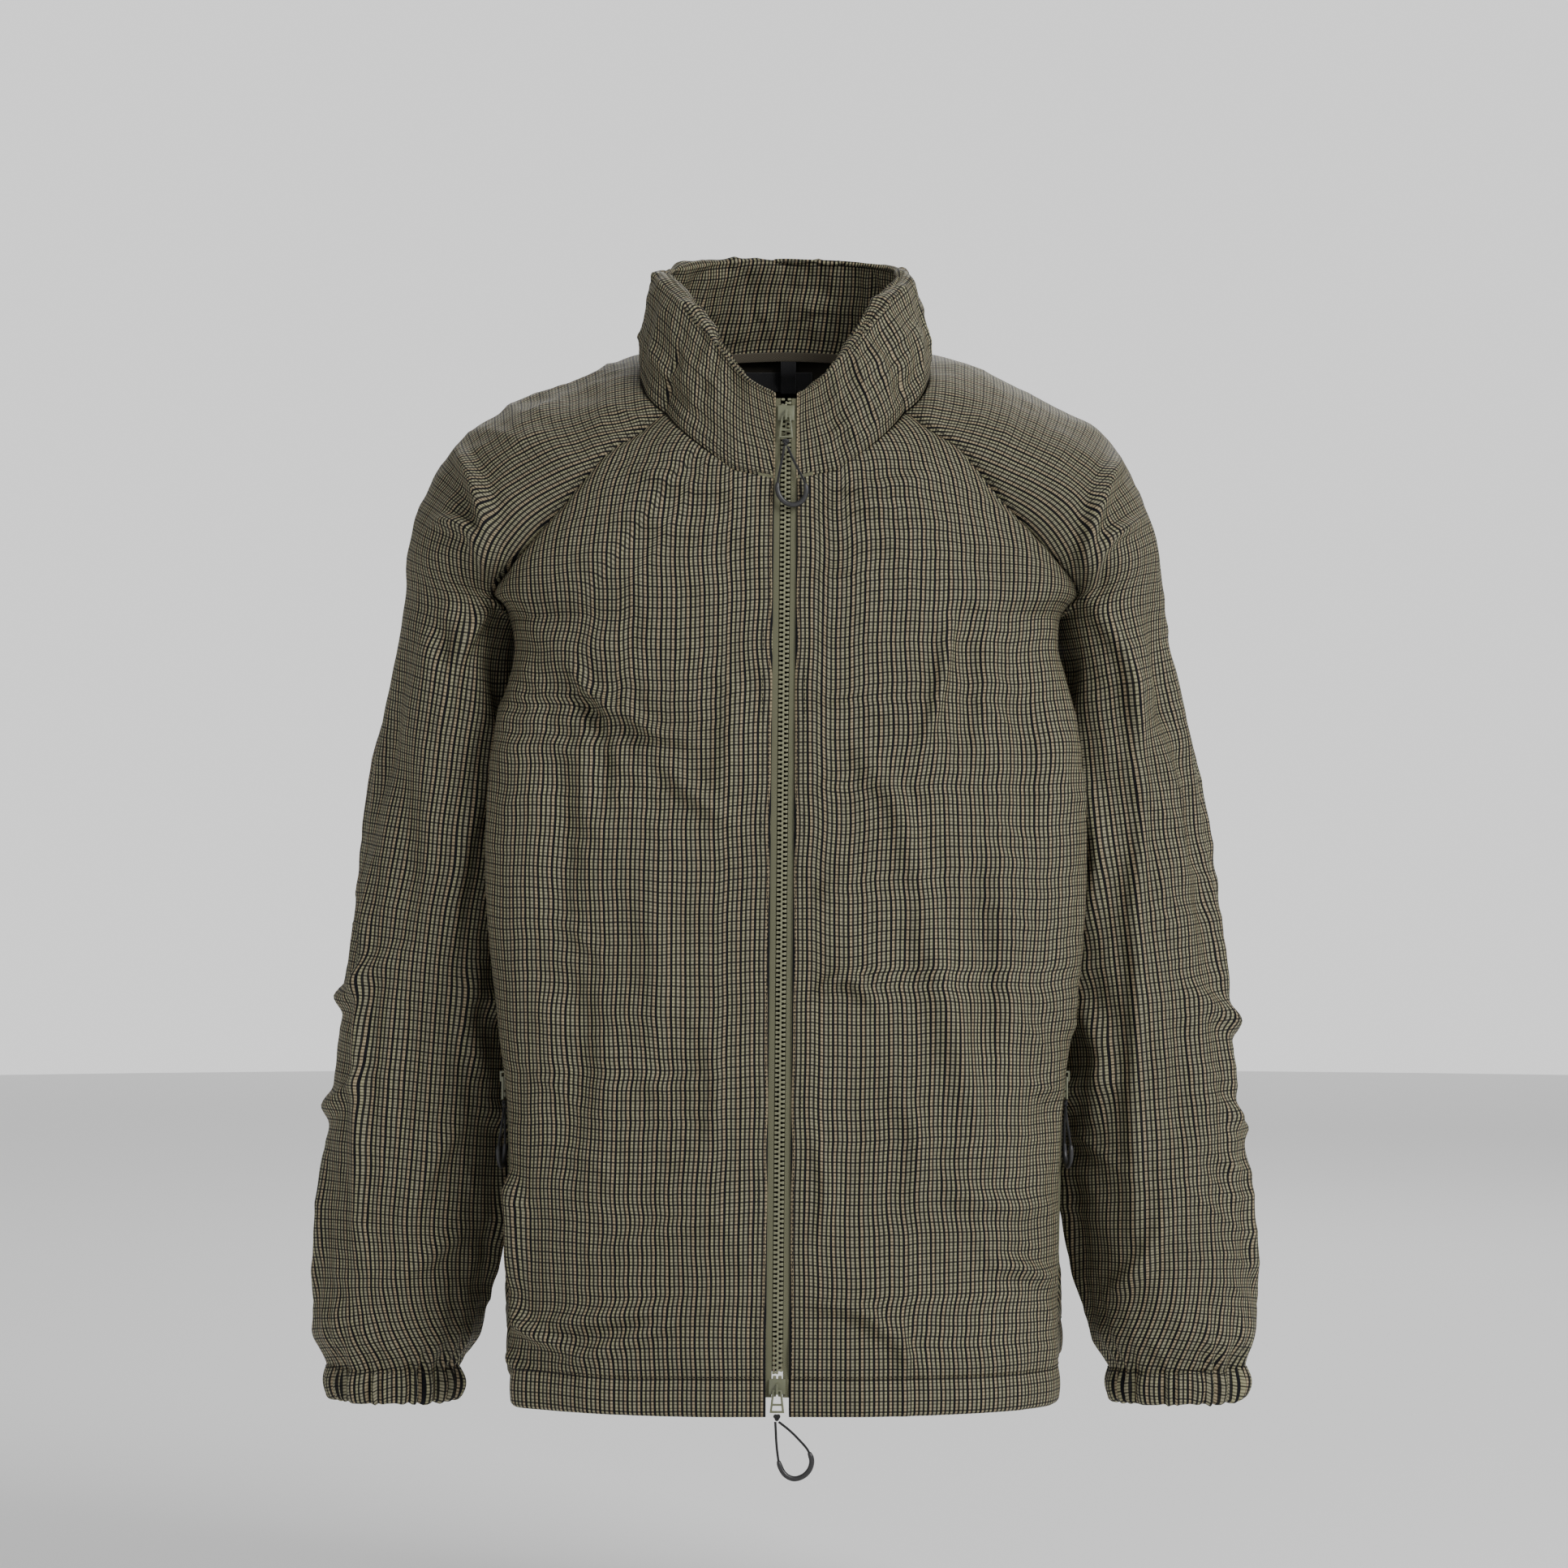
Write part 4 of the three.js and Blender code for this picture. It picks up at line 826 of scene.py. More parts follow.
@dataclass(frozen=True)
class Finish:
    """One material: its colours, gloss and surface detail, lengths in metres."""

    name: str
    colour: tuple
    pattern: Pattern
    roughness: float
    dark: tuple = (0.0, 0.0, 0.0, 1.0)
    specular: float = 0.4
    sheen: float = 0.0
    coat: float = 0.0
    bump: float = 0.0001
    pitch: float = 0.001
    crease: float = 0.0024
    fade_size: float = 0.06
    fade_depth: float = 0.12

    def make(self, effects: Effects) -> bpy.types.Material:
        """The material, from its pattern's groups.

        Args:
            effects: the shared groups.

        Returns:
            The material.
        """
        material = bpy.data.materials.new(self.name)
        material.use_nodes = True
        n = Nodes(material.node_tree)
        shader = material.node_tree.nodes["Principled BSDF"]
        place = n.add("TexCoord")
        fading = n.add("Group", {"Size": self.fade_size, "Depth": self.fade_depth}, node_tree=effects.dust)
        if self.pattern is Pattern.CHECK:
            takes = {"Vector": place.outputs["UV"], "Light": self.colour, "Dark": self.dark}
            detail = n.add("Group", takes, node_tree=effects.check)
            colour, height = detail.outputs["Color"], detail.outputs["Height"]
        elif self.pattern is Pattern.WEAVE:
            takes = {"Vector": place.outputs["Object"], "Pitch": self.pitch}
            detail = n.add("Group", takes, node_tree=effects.weave)
            # The weave's Shade darkens the colour along the rib valleys: painted shade.
            colour = n.blend(1.0, self.colour, detail.outputs["Shade"], "MULTIPLY")
            height = detail.outputs["Height"]
        else:
            cells = {"Vector": place.outputs["Object"], "Scale": 1 / self.pitch, "Detail": 3.0}
            grain = n.add("TexNoise", cells)
            colour, height = self.colour, grain.outputs[0]
        shade = fading.outputs["Shade"]
        n.put(shader.inputs["Base Color"], n.blend(1.0, colour, shade, "MULTIPLY"))
        rough = n.math("MULTIPLY", shade, self.roughness)
        n.put(shader.inputs["Roughness"], n.math("MINIMUM", rough, 1.0))
        bump = n.add("Bump", {"Height": height, "Strength": 1.0, "Distance": self.bump})
        if self.pattern is Pattern.CHECK:
            creased = n.add("Group", node_tree=effects.creases)
            raised = {"Height": creased.outputs["Height"], "Strength": 1.0, "Distance": self.crease}
            n.put(bump.inputs["Normal"], n.add("Bump", raised).outputs[0])
        n.put(shader.inputs["Normal"], bump.outputs[0])
        plain = {"Specular IOR Level": self.specular, "Sheen Weight": self.sheen, "Sheen Roughness": 0.45,
                 "Coat Weight": self.coat}
        for key, value in plain.items():
            shader.inputs[key].default_value = value
        return material


FINISHES = (
    Finish("shell check", linear(154, 148, 123), Pattern.CHECK, 0.62, linear(8, 9, 15),
           specular=0.16, bump=0.00006, fade_depth=0.16, fade_size=0.09),
    Finish("inner check", linear(150, 144, 119), Pattern.CHECK, 0.7, linear(8, 9, 15),
           specular=0.14, bump=0.00006),
    Finish("lining", linear(44, 41, 33), Pattern.WEAVE, 0.8, specular=0.3, sheen=0.1, pitch=0.0008,
           bump=0.00005),
    Finish("olive tape", linear(108, 108, 86), Pattern.WEAVE, 0.82, specular=0.25, sheen=0.15, pitch=0.0013,
           bump=0.00014),
    Finish("neck tape", linear(82, 76, 64), Pattern.WEAVE, 0.8, specular=0.25, sheen=0.15, pitch=0.0012,
           bump=0.00014),
    Finish("moulded teeth", linear(112, 112, 88), Pattern.SMOOTH, 0.32, specular=0.5, bump=0.00003,
           pitch=0.0006, fade_size=0.02, fade_depth=0.1),
    Finish("olive enamel", linear(96, 98, 76), Pattern.SMOOTH, 0.4, specular=0.5, coat=0.15,
           bump=0.00003, pitch=0.0009, fade_size=0.006, fade_depth=0.3),
    Finish("black cord", linear(26, 26, 28), Pattern.WEAVE, 0.7, specular=0.35, sheen=0.2, pitch=0.0008,
           bump=0.00012),
    Finish("black webbing", linear(22, 22, 25), Pattern.WEAVE, 0.72, specular=0.35, sheen=0.2, pitch=0.0009,
           bump=0.00012),
    Finish("grip rubber", linear(38, 38, 39), Pattern.SMOOTH, 0.42, specular=0.5, bump=0.00002, pitch=0.0007,
           fade_size=0.004, fade_depth=0.3),
    Finish("sewing thread", linear(38, 35, 27), Pattern.WEAVE, 0.7, specular=0.3, pitch=0.0005, bump=0.00004),
    Finish("elastic", linear(30, 30, 31), Pattern.WEAVE, 0.8, pitch=0.0012, bump=0.0002),
)


@dataclass
class Workroom:
    """Dresses finished pieces and puts them on their bodies."""

    materials: dict = field(init=False)
    count: int = 0

    def __post_init__(self) -> None:
        """Makes every finish."""
        effects = Effects()
        self.materials = {finish.name: finish.make(effects) for finish in FINISHES}

    def dress(self, piece: Piece, finish: str, replaces: tuple = (),
              body: str | None = "root", second: str = "") -> Piece:
        """Gives a piece its finish, slot, body and the nodes it stands for.

        Args:
            piece: the object.
            finish: name of its finish.
            replaces: nodes that it stands for.
            body: the body that it rides on, or None to leave it on no body.
            second: finish of the inner face of a thick panel.

        Returns:
            The piece.
        """
        piece.data.materials.clear()
        piece.data.materials.append(self.materials[finish])
        piece.data.materials.append(self.materials[second or finish])
        if replaces:
            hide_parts(*replaces)
        if body:
            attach(piece, body)
        self.count += 1
        LOG.info("%s: %s on %s", piece.name, finish, body or "two bodies")
        return piece

    def dress_shell(self, piece: Piece, *nodes: str, body: str | None = "root") -> None:
        """Gives a panel the shell cloth outside and the lining inside."""
        self.dress(piece, "shell check", nodes, body, "lining")

    def sew(self, name: str, lines: list[tuple[Array, Array]], body: str = "root") -> None:
        """Stitches along lines of points with normals, in sewing thread."""
        self.dress(Stitching().sew(name, lines), "sewing thread", (), body)

    def redress(self, node: str, finish: str) -> None:
        """Gives a node that stays its finish."""
        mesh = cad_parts[node].data
        mesh.materials.clear()
        mesh.materials.append(self.materials[finish])

    def polish(self, node: str, finish: str, body: str, round_off: float) -> Piece:
        """A rounded copy of a hard node, which stands for it.

        Args:
            node: the node to copy.
            finish: name of the finish.
            body: the body that it rides on.
            round_off: width of its rounded edges in millimetres.

        Returns:
            The piece.
        """
        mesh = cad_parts[node].data.copy()
        piece = add_object(node + "_finished", mesh)
        weld(mesh)
        bevel = piece.modifiers.new("rounded edges", "BEVEL")
        bevel.width = round_off * MM
        bevel.segments = 3
        bevel.limit_method = "ANGLE"
        bevel.angle_limit = math.radians(35)
        bevel.harden_normals = True
        mesh.shade_smooth()
        return self.dress(piece, finish, (node,), body)


def weld(mesh: bpy.types.Mesh) -> None:
    """Joins a mesh's loose triangles and dissolves the lines across its flat faces."""
    work = bmesh.new()
    work.from_mesh(mesh)
    bmesh.ops.remove_doubles(work, verts=work.verts, dist=0.01 * MM)
    bmesh.ops.dissolve_limit(work, angle_limit=math.radians(2), verts=work.verts, edges=work.edges)
    work.to_mesh(mesh)
    work.free()


# ---- the jacket's pattern ----
def arc_shares(u: Array, turn: Array) -> tuple[Array, Array]:
    """Shares across and back along an arc: sin(uT) / sin T and (1 - cos uT) / (1 - cos T)."""
    return np.sin(u * turn) / np.sin(turn), (1 - np.cos(u * turn)) / (1 - np.cos(turn))


@dataclass
class Pattern3D:
    """The smooth shape of the jacket: seams and rows that neighbouring panels share.

    A torso row is named by s: 0 at the neck, ARMPIT_ROW at the armpit and HEM_ROW at the hem
    casing. A sleeve row is named by q, which equals s down to the armpit and reaches CUFF_ROW
    at the cuff. The tables below the armpit go by the share of the way down.
    """

    chest_half: float = 203
    hem_half: float = 181
    back_depth: float = 104
    armpit_z: float = -174
    casing_z: float = -670
    hem_rise: float = 18
    neck_front_z: float = -83
    neck_back_z: float = 14
    sleeve_half: float = 61
    sleeve_depth: float = 70
    cuff_half: float = 44
    cuff_top_z: float = -679
    zip_top: tuple = ZIP_TOP
    zip_foot: tuple = ZIP_FOOT
    zip_half: float = 7.5
    placket_half: float = 34
    upper_rows: int = 90
    lower_rows: int = 220
    shares: tuple = (0.05, 0.14, 0.26, 0.4, 0.54, 0.67, 0.8, 0.91, 1)
    # Front seam, back seam, shoulder line, and how far the sleeve has closed in degrees.
    raglan: tuple = (
        ((80, -60, -37), (62, 60, 9), (96, 3, 1), 0),
        ((97, -67, -51), (79, 72, 1), (122, 4, -3), 0),
        ((112, -71, -59), (96, 81, -14), (150, 6, -13), 0),
        ((128, -73, -76), (113, 87, -35), (180, 8, -25), 5),
        ((146, -72, -98), (131, 88, -62), (207, 11, -39), 10),
        ((165, -68, -119), (148, 86, -92), (228, 14, -60), 18),
        ((183, -57, -139), (163, 79, -122), (242, 17, -88), 30),
        ((195, -36, -156), (175, 64, -149), (251, 20, -123), 43),
    )
    underarm: tuple = ((176, 22, -174), (258, 24, -160), 70, 52)
    sleeve_line: tuple = ((0.07, (223, 25)), (0.16, (223, 31)), (0.28, (227, 32)), (0.42, (235, 31)),
                          (0.56, (242.5, 30)), (0.7, (249, 28)), (0.82, (254, 25)), (0.91, (261.5, 21)),
                          (1, (267.5, 17)))
    sleeve_width: tuple = ((0.07, 0.72), (0.16, 0.88), (0.28, 0.95), (0.42, 0.99), (0.7, 1.02), (0.82, 1.03),
                           (0.91, 0.93))
    sleeve_depths: tuple = ((0.07, 1), (0.42, 1), (0.7, 0.92), (0.82, 0.87), (0.91, 0.78))
    front_seam: tuple = ((0.05, (0.897, -27)), (0.14, (0.945, -36)), (0.26, (0.955, -36)),
                         (0.55, (0.965, -38)), (1, (0.985, -46)))
    side_middle: tuple = ((0.05, (168, 14)), (0.14, (157, 22)), (0.26, (157, 22)), (0.55, (168, 18)),
                          (0.8, (178, 14)), (1, (188, 8)))
    back_seam: tuple = ((0.05, (166, 46)), (0.14, (155, 66)), (0.26, (150, 72)), (0.55, (157, 70)),
                        (0.8, (170, 66)), (1, (186, 60)))
    # By torso row: the turn of the front's and the back's arcs, and the back's depth.
    front_turn: tuple = ((0, 62), (8, 93), (11.1, 101), (18, 107), (30, 102))
    back_turn: tuple = ((0, 70), (8, 62), (30, 84))
    back_depths: tuple = ((0, 0.74), (4, 0.93), (8, 0.99), (13.7, 1), (30, 0.95))

    def __post_init__(self) -> None:
        """Works out the ellipses, the seams and the rows."""
        self.ellipse_q, self.ellipses = self.sleeve_ellipses()
        self.upper = np.linspace(0, ARMPIT_ROW, self.upper_rows)
        self.lower = np.linspace(ARMPIT_ROW, HEM_ROW, self.lower_rows)
        self.rows = np.concatenate([self.upper, self.lower[1:]])
        self.seams = {end: self.torso_seam(end) for end in ("front", "back")}

    def sleeve_ellipses(self) -> tuple[Array, Array]:
        """Stations of the sleeve: centre, depth vector, outward vector and closing angle."""
        rows, places = [], []
        for k, (front, back, top, close) in enumerate(self.raglan):
            f, b, t, a = np.array(front), np.array(back), np.array(top), math.radians(close)
            out = (t - (f + b) / 2) / (1 + math.sin(a))
            rows.append(np.concatenate([t - out, (f - b) / (2 * math.cos(a)), out, [a]]))
            places.append(k)
        inner, top, half, close = self.underarm
        middle = (np.array(inner) + np.array(top)) / 2
        out = (np.array(top) - np.array(inner)) / 2
        rows.append(np.concatenate([middle, (0, -half, 0), out, [math.radians(close)]]))
        places.append(ARMPIT_ROW)
        for share, centre in self.sleeve_line:
            last = share >= 1
            wide = self.cuff_half if last else self.sleeve_half * table(self.sleeve_width, share)
            deep = self.cuff_half * 0.95 if last else self.sleeve_depth * table(self.sleeve_depths, share)
            z = mix(self.armpit_z, self.cuff_top_z, share)
            rows.append(np.array([*centre, z, 0, -float(deep), 0, float(wide), 0, 0, math.pi / 2]))
            places.append(ARMPIT_ROW + (CUFF_ROW - ARMPIT_ROW) * share)
        return np.array(places), np.array(rows)

    def on_sleeve(self, q: Array, turn: Array, side: int) -> Array:
        """Points of the sleeve surface: centre + depth cos(turn) + out sin(turn).

        Args:
            q: rows.
            turn: angles, from the front over the top to the back.
            side: 1 for the wearer's left.

        Returns:
            Points.
        """
        e = through(self.ellipse_q, self.ellipses, q)
        turn = turn[..., None]
        points = e[..., 0:3] + e[..., 3:6] * np.cos(turn) + e[..., 6:9] * np.sin(turn)
        return points * (side, 1, 1)

    def closing(self, q: Array) -> Array:
        """How far the sleeve has closed under the arm at each row, in radians."""
        a = through(self.ellipse_q, self.ellipses[:, 9], np.minimum(q, ARMPIT_ROW))
        return np.where(q > ARMPIT_ROW + 1e-9, math.pi / 2, np.clip(a, 0, math.pi / 2))

    def panel_z(self, share: Array) -> Array:
        """Height below the armpit by share of the way to the hem casing."""
        return mix(self.armpit_z, self.casing_z, share)

    def corner_half(self, share: float) -> float:
        """Half width across the front corners, narrower towards the hem."""
        return float(mix(self.chest_half, self.hem_half, ease((share - 0.3) / 0.45)))

    def seam_station(self, end: str, share: float) -> Array:
        """A point of the front or back side seam on the wearer's left."""
        if end == "front":
            x, y = straight(self.front_seam, share)
            return np.array([x * self.corner_half(share), y, self.panel_z(share)])
        x, y = straight(self.back_seam, share)
        return np.array([x, y, self.panel_z(share) + self.hem_rise * share**4])

    def torso_seam(self, end: str) -> Array:
        """Both seams of a side for every torso row: the raglan seam, then the side seam."""
        quarter = self.closing(self.upper)
        turn = -quarter if end == "front" else math.pi + quarter
        high = self.on_sleeve(self.upper, turn, 1)
        stations = [high[-1]] + [self.seam_station(end, share) for share in self.shares]
        low = through(self.lower_stations(), stations, self.lower[1:])
        return np.concatenate([high, low])

    def lower_stations(self) -> Array:
        """Row numbers of the armpit and of each share below it."""
        below = ARMPIT_ROW + (HEM_ROW - ARMPIT_ROW) * np.array(self.shares)
        return np.concatenate([[float(ARMPIT_ROW)], below])

    def zip_point(self, z: Array) -> Array:
        """The zip's line at a height."""
        top, foot = np.array(self.zip_top, float), np.array(self.zip_foot, float)
        t = (top[2] - np.asarray(z, float)) / (top[2] - foot[2])
        return mix(top, foot, t[..., None])

    def front(self, side: int) -> Array:
        """A front panel: flat beside the zip, then an arc back to the side.

        Args:
            side: 1 for the wearer's left.

        Returns:
            Points, with the first column at the zip.
        """
        s, edge = self.rows, self.seams["front"]
        upper = s < ARMPIT_ROW
        drop = np.clip(s / ARMPIT_ROW, 0, 1) ** 1.1
        z = np.where(upper, mix(self.neck_front_z, edge[self.upper_rows - 1, 2], drop), edge[:, 2])
        lift = np.where(upper, (edge[:, 2] - z) * 0.12, 0)
        zipped, flat = self.zip_point(z), self.zip_point(z + lift)
        turn = np.radians(table(self.front_turn, s))[:, None]
        start = np.stack([flat[:, 0] + side * self.placket_half, flat[:, 1], z + lift], 1)
        first = np.stack([zipped[:, 0] + side * self.zip_half, zipped[:, 1], z], 1)
        outer = edge * (side, 1, 1)
        w = np.linspace(0, 1, 13)[None, :, None]
        level = mix(first[:, None], start[:, None], w)
        u = np.linspace(0, 1, 101)[None, 1:]
        across, back = arc_shares(u, turn)
        x = mix(start[:, None, 0], outer[:, None, 0], across)
        y = mix(start[:, None, 1], outer[:, None, 1], back)
        height = mix(start[:, None, 2], outer[:, None, 2], np.broadcast_to(u, x.shape))
        return np.concatenate([level, np.stack([x, y, height], -1)], axis=1)

    def back(self) -> Array:
        """The back panel, from the wearer's right to the left, by the front's formula."""
        s, edge = self.rows, self.seams["back"]
        drop = np.clip(s / ARMPIT_ROW, 0, 1) ** 1.15
        low = self.panel_z((s - ARMPIT_ROW) / (HEM_ROW - ARMPIT_ROW))
        z = np.where(s < ARMPIT_ROW, mix(self.neck_back_z, self.armpit_z, drop), low)
        turn = np.radians(table(self.back_turn, s))[:, None]
        y = self.back_depth * table(self.back_depths, s)
        u = np.linspace(0, 1, 64)[None, :]
        across, bend = arc_shares(u, turn)
        half = np.stack([edge[:, None, 0] * across, mix(y[:, None], edge[:, None, 1], bend),
                         mix(z[:, None], edge[:, None, 2], u**1.6)], -1)
        return np.concatenate([half[:, :0:-1] * (-1, 1, 1), half], axis=1)

    def side(self, side: int) -> Array:
        """A side panel: rows are parabolas through both seams and a pinched middle."""
        v = np.linspace(0, 1, 30)
        a = float(self.closing(np.array(float(ARMPIT_ROW))))
        arc = self.on_sleeve(np.full(len(v), float(ARMPIT_ROW)), -mix(a, math.pi - a, v), 1)
        rows = [arc]
        for share in self.shares:
            x, y = straight(self.side_middle, share)
            begin, end = self.seam_station("front", share), self.seam_station("back", share)
            middle = np.array([x, y, self.panel_z(share) + self.hem_rise * share**4])
            pull = 2 * middle - (begin + end) / 2
            t = v[:, None]
            rows.append((1 - t) ** 2 * begin + 2 * t * (1 - t) * pull + t**2 * end)
        return through(self.lower_stations(), rows, self.lower) * (side, 1, 1)

    def sleeve(self, side: int) -> tuple[Array, Array, int]:
        """A raglan sleeve from the neck to the cuff.

        Args:
            side: 1 for the wearer's left.

        Returns:
            Points, the centre of each row, and the first row that closes on itself.
        """
        low = np.linspace(ARMPIT_ROW + 0.05, CUFF_ROW, 210)
        q = np.concatenate([self.upper, low])
        a = self.closing(q)[:, None]
        columns = 136
        turn = mix(-a, math.pi + a, np.linspace(0, 1, columns)[None, :])
        points = self.on_sleeve(np.broadcast_to(q[:, None], turn.shape), turn, side)
        centres = through(self.ellipse_q, self.ellipses, q)[:, :3] * (side, 1, 1)
        below = (q - ARMPIT_ROW)[:, None]
        inward = (1 - np.sin(turn)) / 2 * ease(below / 0.3) * (1 - ease((q - 8.7)[:, None]))
        points[..., 0] += side * 4 * inward
        near = ease((q - 6.2) / 1.2) * (1 - ease((q - 8.8) / 0.6))
        middle = np.minimum(np.arange(columns), np.arange(columns)[::-1])
        share = (near[:, None] * ease((middle - 1) / 12)[None])[1:-1, :, None]
        for _ in range(24):
            points[1:-1] += share * ((points[:-2] + points[2:]) / 2 - points[1:-1]) * 0.5
        return points, centres, self.upper_rows


# ---- shell ----
@dataclass
class Shell:
    """Front, back and side panels and the raglan sleeves, draped and joined at their seams."""

    pattern: Pattern3D
    drape: Drape
    seam_depth: float = 0.9
    seam_width: float = 2.6
    gather: float = 2.7
    gather_pitch: float = 13.0
    panels: dict = field(default_factory=dict)

    def __post_init__(self) -> None:
        """Lays out, joins and drapes every panel."""
        pattern = self.pattern
        up_only = (0, 0, 1)
        for word, side in SIDES:
            for part, points in (("front", pattern.front(side)), ("side", pattern.side(side))):
                panel = Panel(f"{part}_shell_{word}", points, points[:, 0] * up_only)
                self.panels[f"{part}_{word}"] = panel
            sleeve = Panel("raglan_sleeve_" + word, *pattern.sleeve(side))
            self.panels["sleeve_" + word] = sleeve
        points = pattern.back()
        self.panels["back"] = Panel("back_shell", points, points[:, 0] * up_only)
        self.join_normals()
        for key, panel in self.panels.items():
            flat = panel.points.copy()
            panel.raise_by(self.relief(key, panel))
            panel.uv = self.threads(key, panel, flat)
            panel.turn()
        self.join_normals()

    def join_normals(self) -> None:
        """Gives both panels at a seam the same normals, so that the seam stays shut."""
        n = self.pattern.upper_rows
        back = self.panels["back"].normals
        for word, column in (("left", -1), ("right", 0)):
            front, side = self.panels["front_" + word].normals, self.panels["side_" + word].normals
            sleeve = self.panels["sleeve_" + word].normals
            pairs = (
                (front, (slice(0, n), -1), sleeve, (slice(0, n), 0)),
                (back, (slice(0, n), column), sleeve, (slice(0, n), -1)),
                (front, (slice(n - 1, None), -1), side, (slice(None), 0)),
                (back, (slice(n - 1, None), column), side, (slice(None), -1)),
            )
            for a, at, b, bt in pairs:
                joined = unit(a[at] + b[bt])
                a[at] = joined
                b[bt] = joined

    def edge_distances(self, key: str, panel: Panel) -> tuple[Array, Array]:
        """How far each point lies from its panel's side seams and from its lower edge."""
        run = row_runs(panel.points)
        rest = run[:, -1:] - run
        sides = rest if key.startswith("front") else np.minimum(run, rest)
        return sides, foot_runs(panel.points)

    def relief(self, key: str, panel: Panel) -> Array:
        """Height of the cloth over the pattern: drape, grooved seams, puckers and gathers.

        Args:
            key: the panel.
            panel: its smooth grid.

        Returns:
            Millimetres at each point.
        """
        points, noise = panel.points, self.drape.noise
        height = self.drape.heights(points, panel.normals)
        sides, below = self.edge_distances(key, panel)
        z = points[..., 2]
        if key.startswith("front"):
            across = np.abs(points[..., 0] - self.pattern.zip_point(z)[..., 0]) - self.pattern.zip_half
            calm = 0.12 + 0.88 * ease(across / 22)
            ripple = noise(points * (0.3, 0.3, 1) + 5, (14, 14, 9))
            height = height * calm + 0.8 * ripple * ease(across / 7) * np.exp(-across / 24)
        pucker = noise(points + 31, 7.5) * np.exp(-sides / 7) * 0.45
        groove = self.seam_depth * np.exp(-((sides / self.seam_width) ** 2))
        swell = 0.5 * np.exp(-(((sides - 6) / 4) ** 2))
        height = height + pucker - groove + swell
        if key.startswith("sleeve"):
            height = height + self.gathers(panel, below)
        else:
            hem = noise(points + 63, (9, 9, 400)) * np.exp(-below / 14) * 0.8
            height = height + hem - self.seam_depth * np.exp(-((below / 2.2) ** 2))
            height = height + 1.6 * np.exp(-(((below - 14) / 12) ** 2))
        if key.startswith(("front", "side")):
            pocket = ease((-440 - z) / 25) * (1 - ease((sides - 20) / 16))
            height = height * (1 - 0.9 * pocket)
        top = np.cumsum(np.linalg.norm(np.diff(points, axis=0, prepend=points[:1]), axis=2), axis=0)
        return height * (0.35 + 0.65 * ease(top / 16)) - self.seam_depth * np.exp(-((top / 2.2) ** 2))

    def gathers(self, panel: Panel, below: Array) -> Array:
        """Upright pleats above a cuff: a sine round the sleeve, warped, fading upward."""
        centre = panel.inside[:, None]
        around = np.arctan2(panel.points[..., 1] - centre[..., 1], panel.points[..., 0] - centre[..., 0])
        place = np.stack([np.cos(around), np.sin(around), below / 90], -1)
        warp = self.drape.noise(place * 3 + 7, 1) * 1.6
        count = round(2 * math.pi * self.pattern.cuff_half / self.gather_pitch)
        pleat = np.cos(count * around + warp * 2.2)
        long = np.exp(-below / 42) * (0.6 + 0.4 * self.drape.noise(place * 2 + 3, 1))
        bulge = 5.5 * np.exp(-(((below - 24) / 17) ** 2))
        return self.gather * pleat * long + bulge

    def threads(self, key: str, panel: Panel, flat: Array) -> Array:
        """Where the threads run: measured along the draped cloth, with a slow waver.

        Args:
            key: the panel.
            panel: the draped panel.
            flat: its points before it was draped.

        Returns:
            Millimetres across and up for each point.
        """
        if key.startswith("sleeve"):
            uv = self.sleeve_threads(flat)
        else:
            origin = panel.points.shape[1] // 2 if key == "back" else 0
            smooth, draped = upright_uv(flat, origin), upright_uv(panel.points, origin)
            uv = smooth + 0.35 * (draped - smooth)
        if key.startswith("side"):
            slant = math.radians(38)
            turned = np.array([[math.cos(slant), -math.sin(slant)], [math.sin(slant), math.cos(slant)]])
            uv = uv @ turned
        waver = [self.drape.noise(flat + shift, (46, 46, 30)) * 1.5 for shift in (101, 151)]
        return uv + np.stack(waver, axis=-1)

    @staticmethod
    def sleeve_threads(flat: Array) -> Array:
        """Threads along the sleeve's top line, and square to it round the arm."""
        middle = flat.shape[1] // 2
        top = flat[:, middle]
        along = unit(softened(unit(np.gradient(top, axis=0)), 160))
        ahead = np.einsum("rcd,rd->rc", flat - top[:, None], along)
        run = row_runs(flat)
        run = run - run[:, middle : middle + 1]
        u = np.sign(run) * np.sqrt(np.maximum(run**2 - ahead**2, 0.04 * run**2))
        return np.stack([u, -(run_length(top)[:, None] + ahead)], axis=-1)

    def build(self, room: Workroom) -> None:
        """Makes the panels' meshes and puts them on their bodies."""
        for word, side in SIDES:
            room.dress_shell(self.panels["front_" + word].build(), "front_panel_" + word)
            room.dress_shell(self.panels["side_" + word].build(), "side_panel_" + word)
            sleeve = self.panels["sleeve_" + word].build()
            room.dress_shell(sleeve, "shoulder_" + word, "sleeve_" + word, body=None)
            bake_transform(sleeve)
        room.dress_shell(self.panels["back"].build(), "back_panel")

    def inset_line(
        self, key: str, inset: float, rows: tuple[float, float], last: bool
    ) -> tuple[Array, Array]:
        """A line down a panel at a fixed distance from its first or last column.

        Args:
            key: the panel.
            inset: distance in millimetres.
            rows: first and last row.
            last: measured from the last column.

        Returns:
            Points and normals.
        """
        panel = self.panels[key]
        points = panel.points[:, ::-1] if last else panel.points
        near = 24
        column = np.array([np.interp(inset, run, np.arange(near)) for run in row_runs(points[:, :near])])
        if last:
            column = points.shape[1] - 1 - column
        row = np.linspace(*rows, LINE_POINTS)
        return panel.at(row, np.interp(row, np.arange(len(column)), column))

    def cross_line(self, key: str, count: int) -> tuple[Array, Array]:
        """A line across a panel just above its lower edge."""
        panel = self.panels[key]
        rows, columns = panel.points.shape[:2]
        return panel.at(np.full(count, rows - 1.8), np.linspace(0.5, columns - 1.5, count))

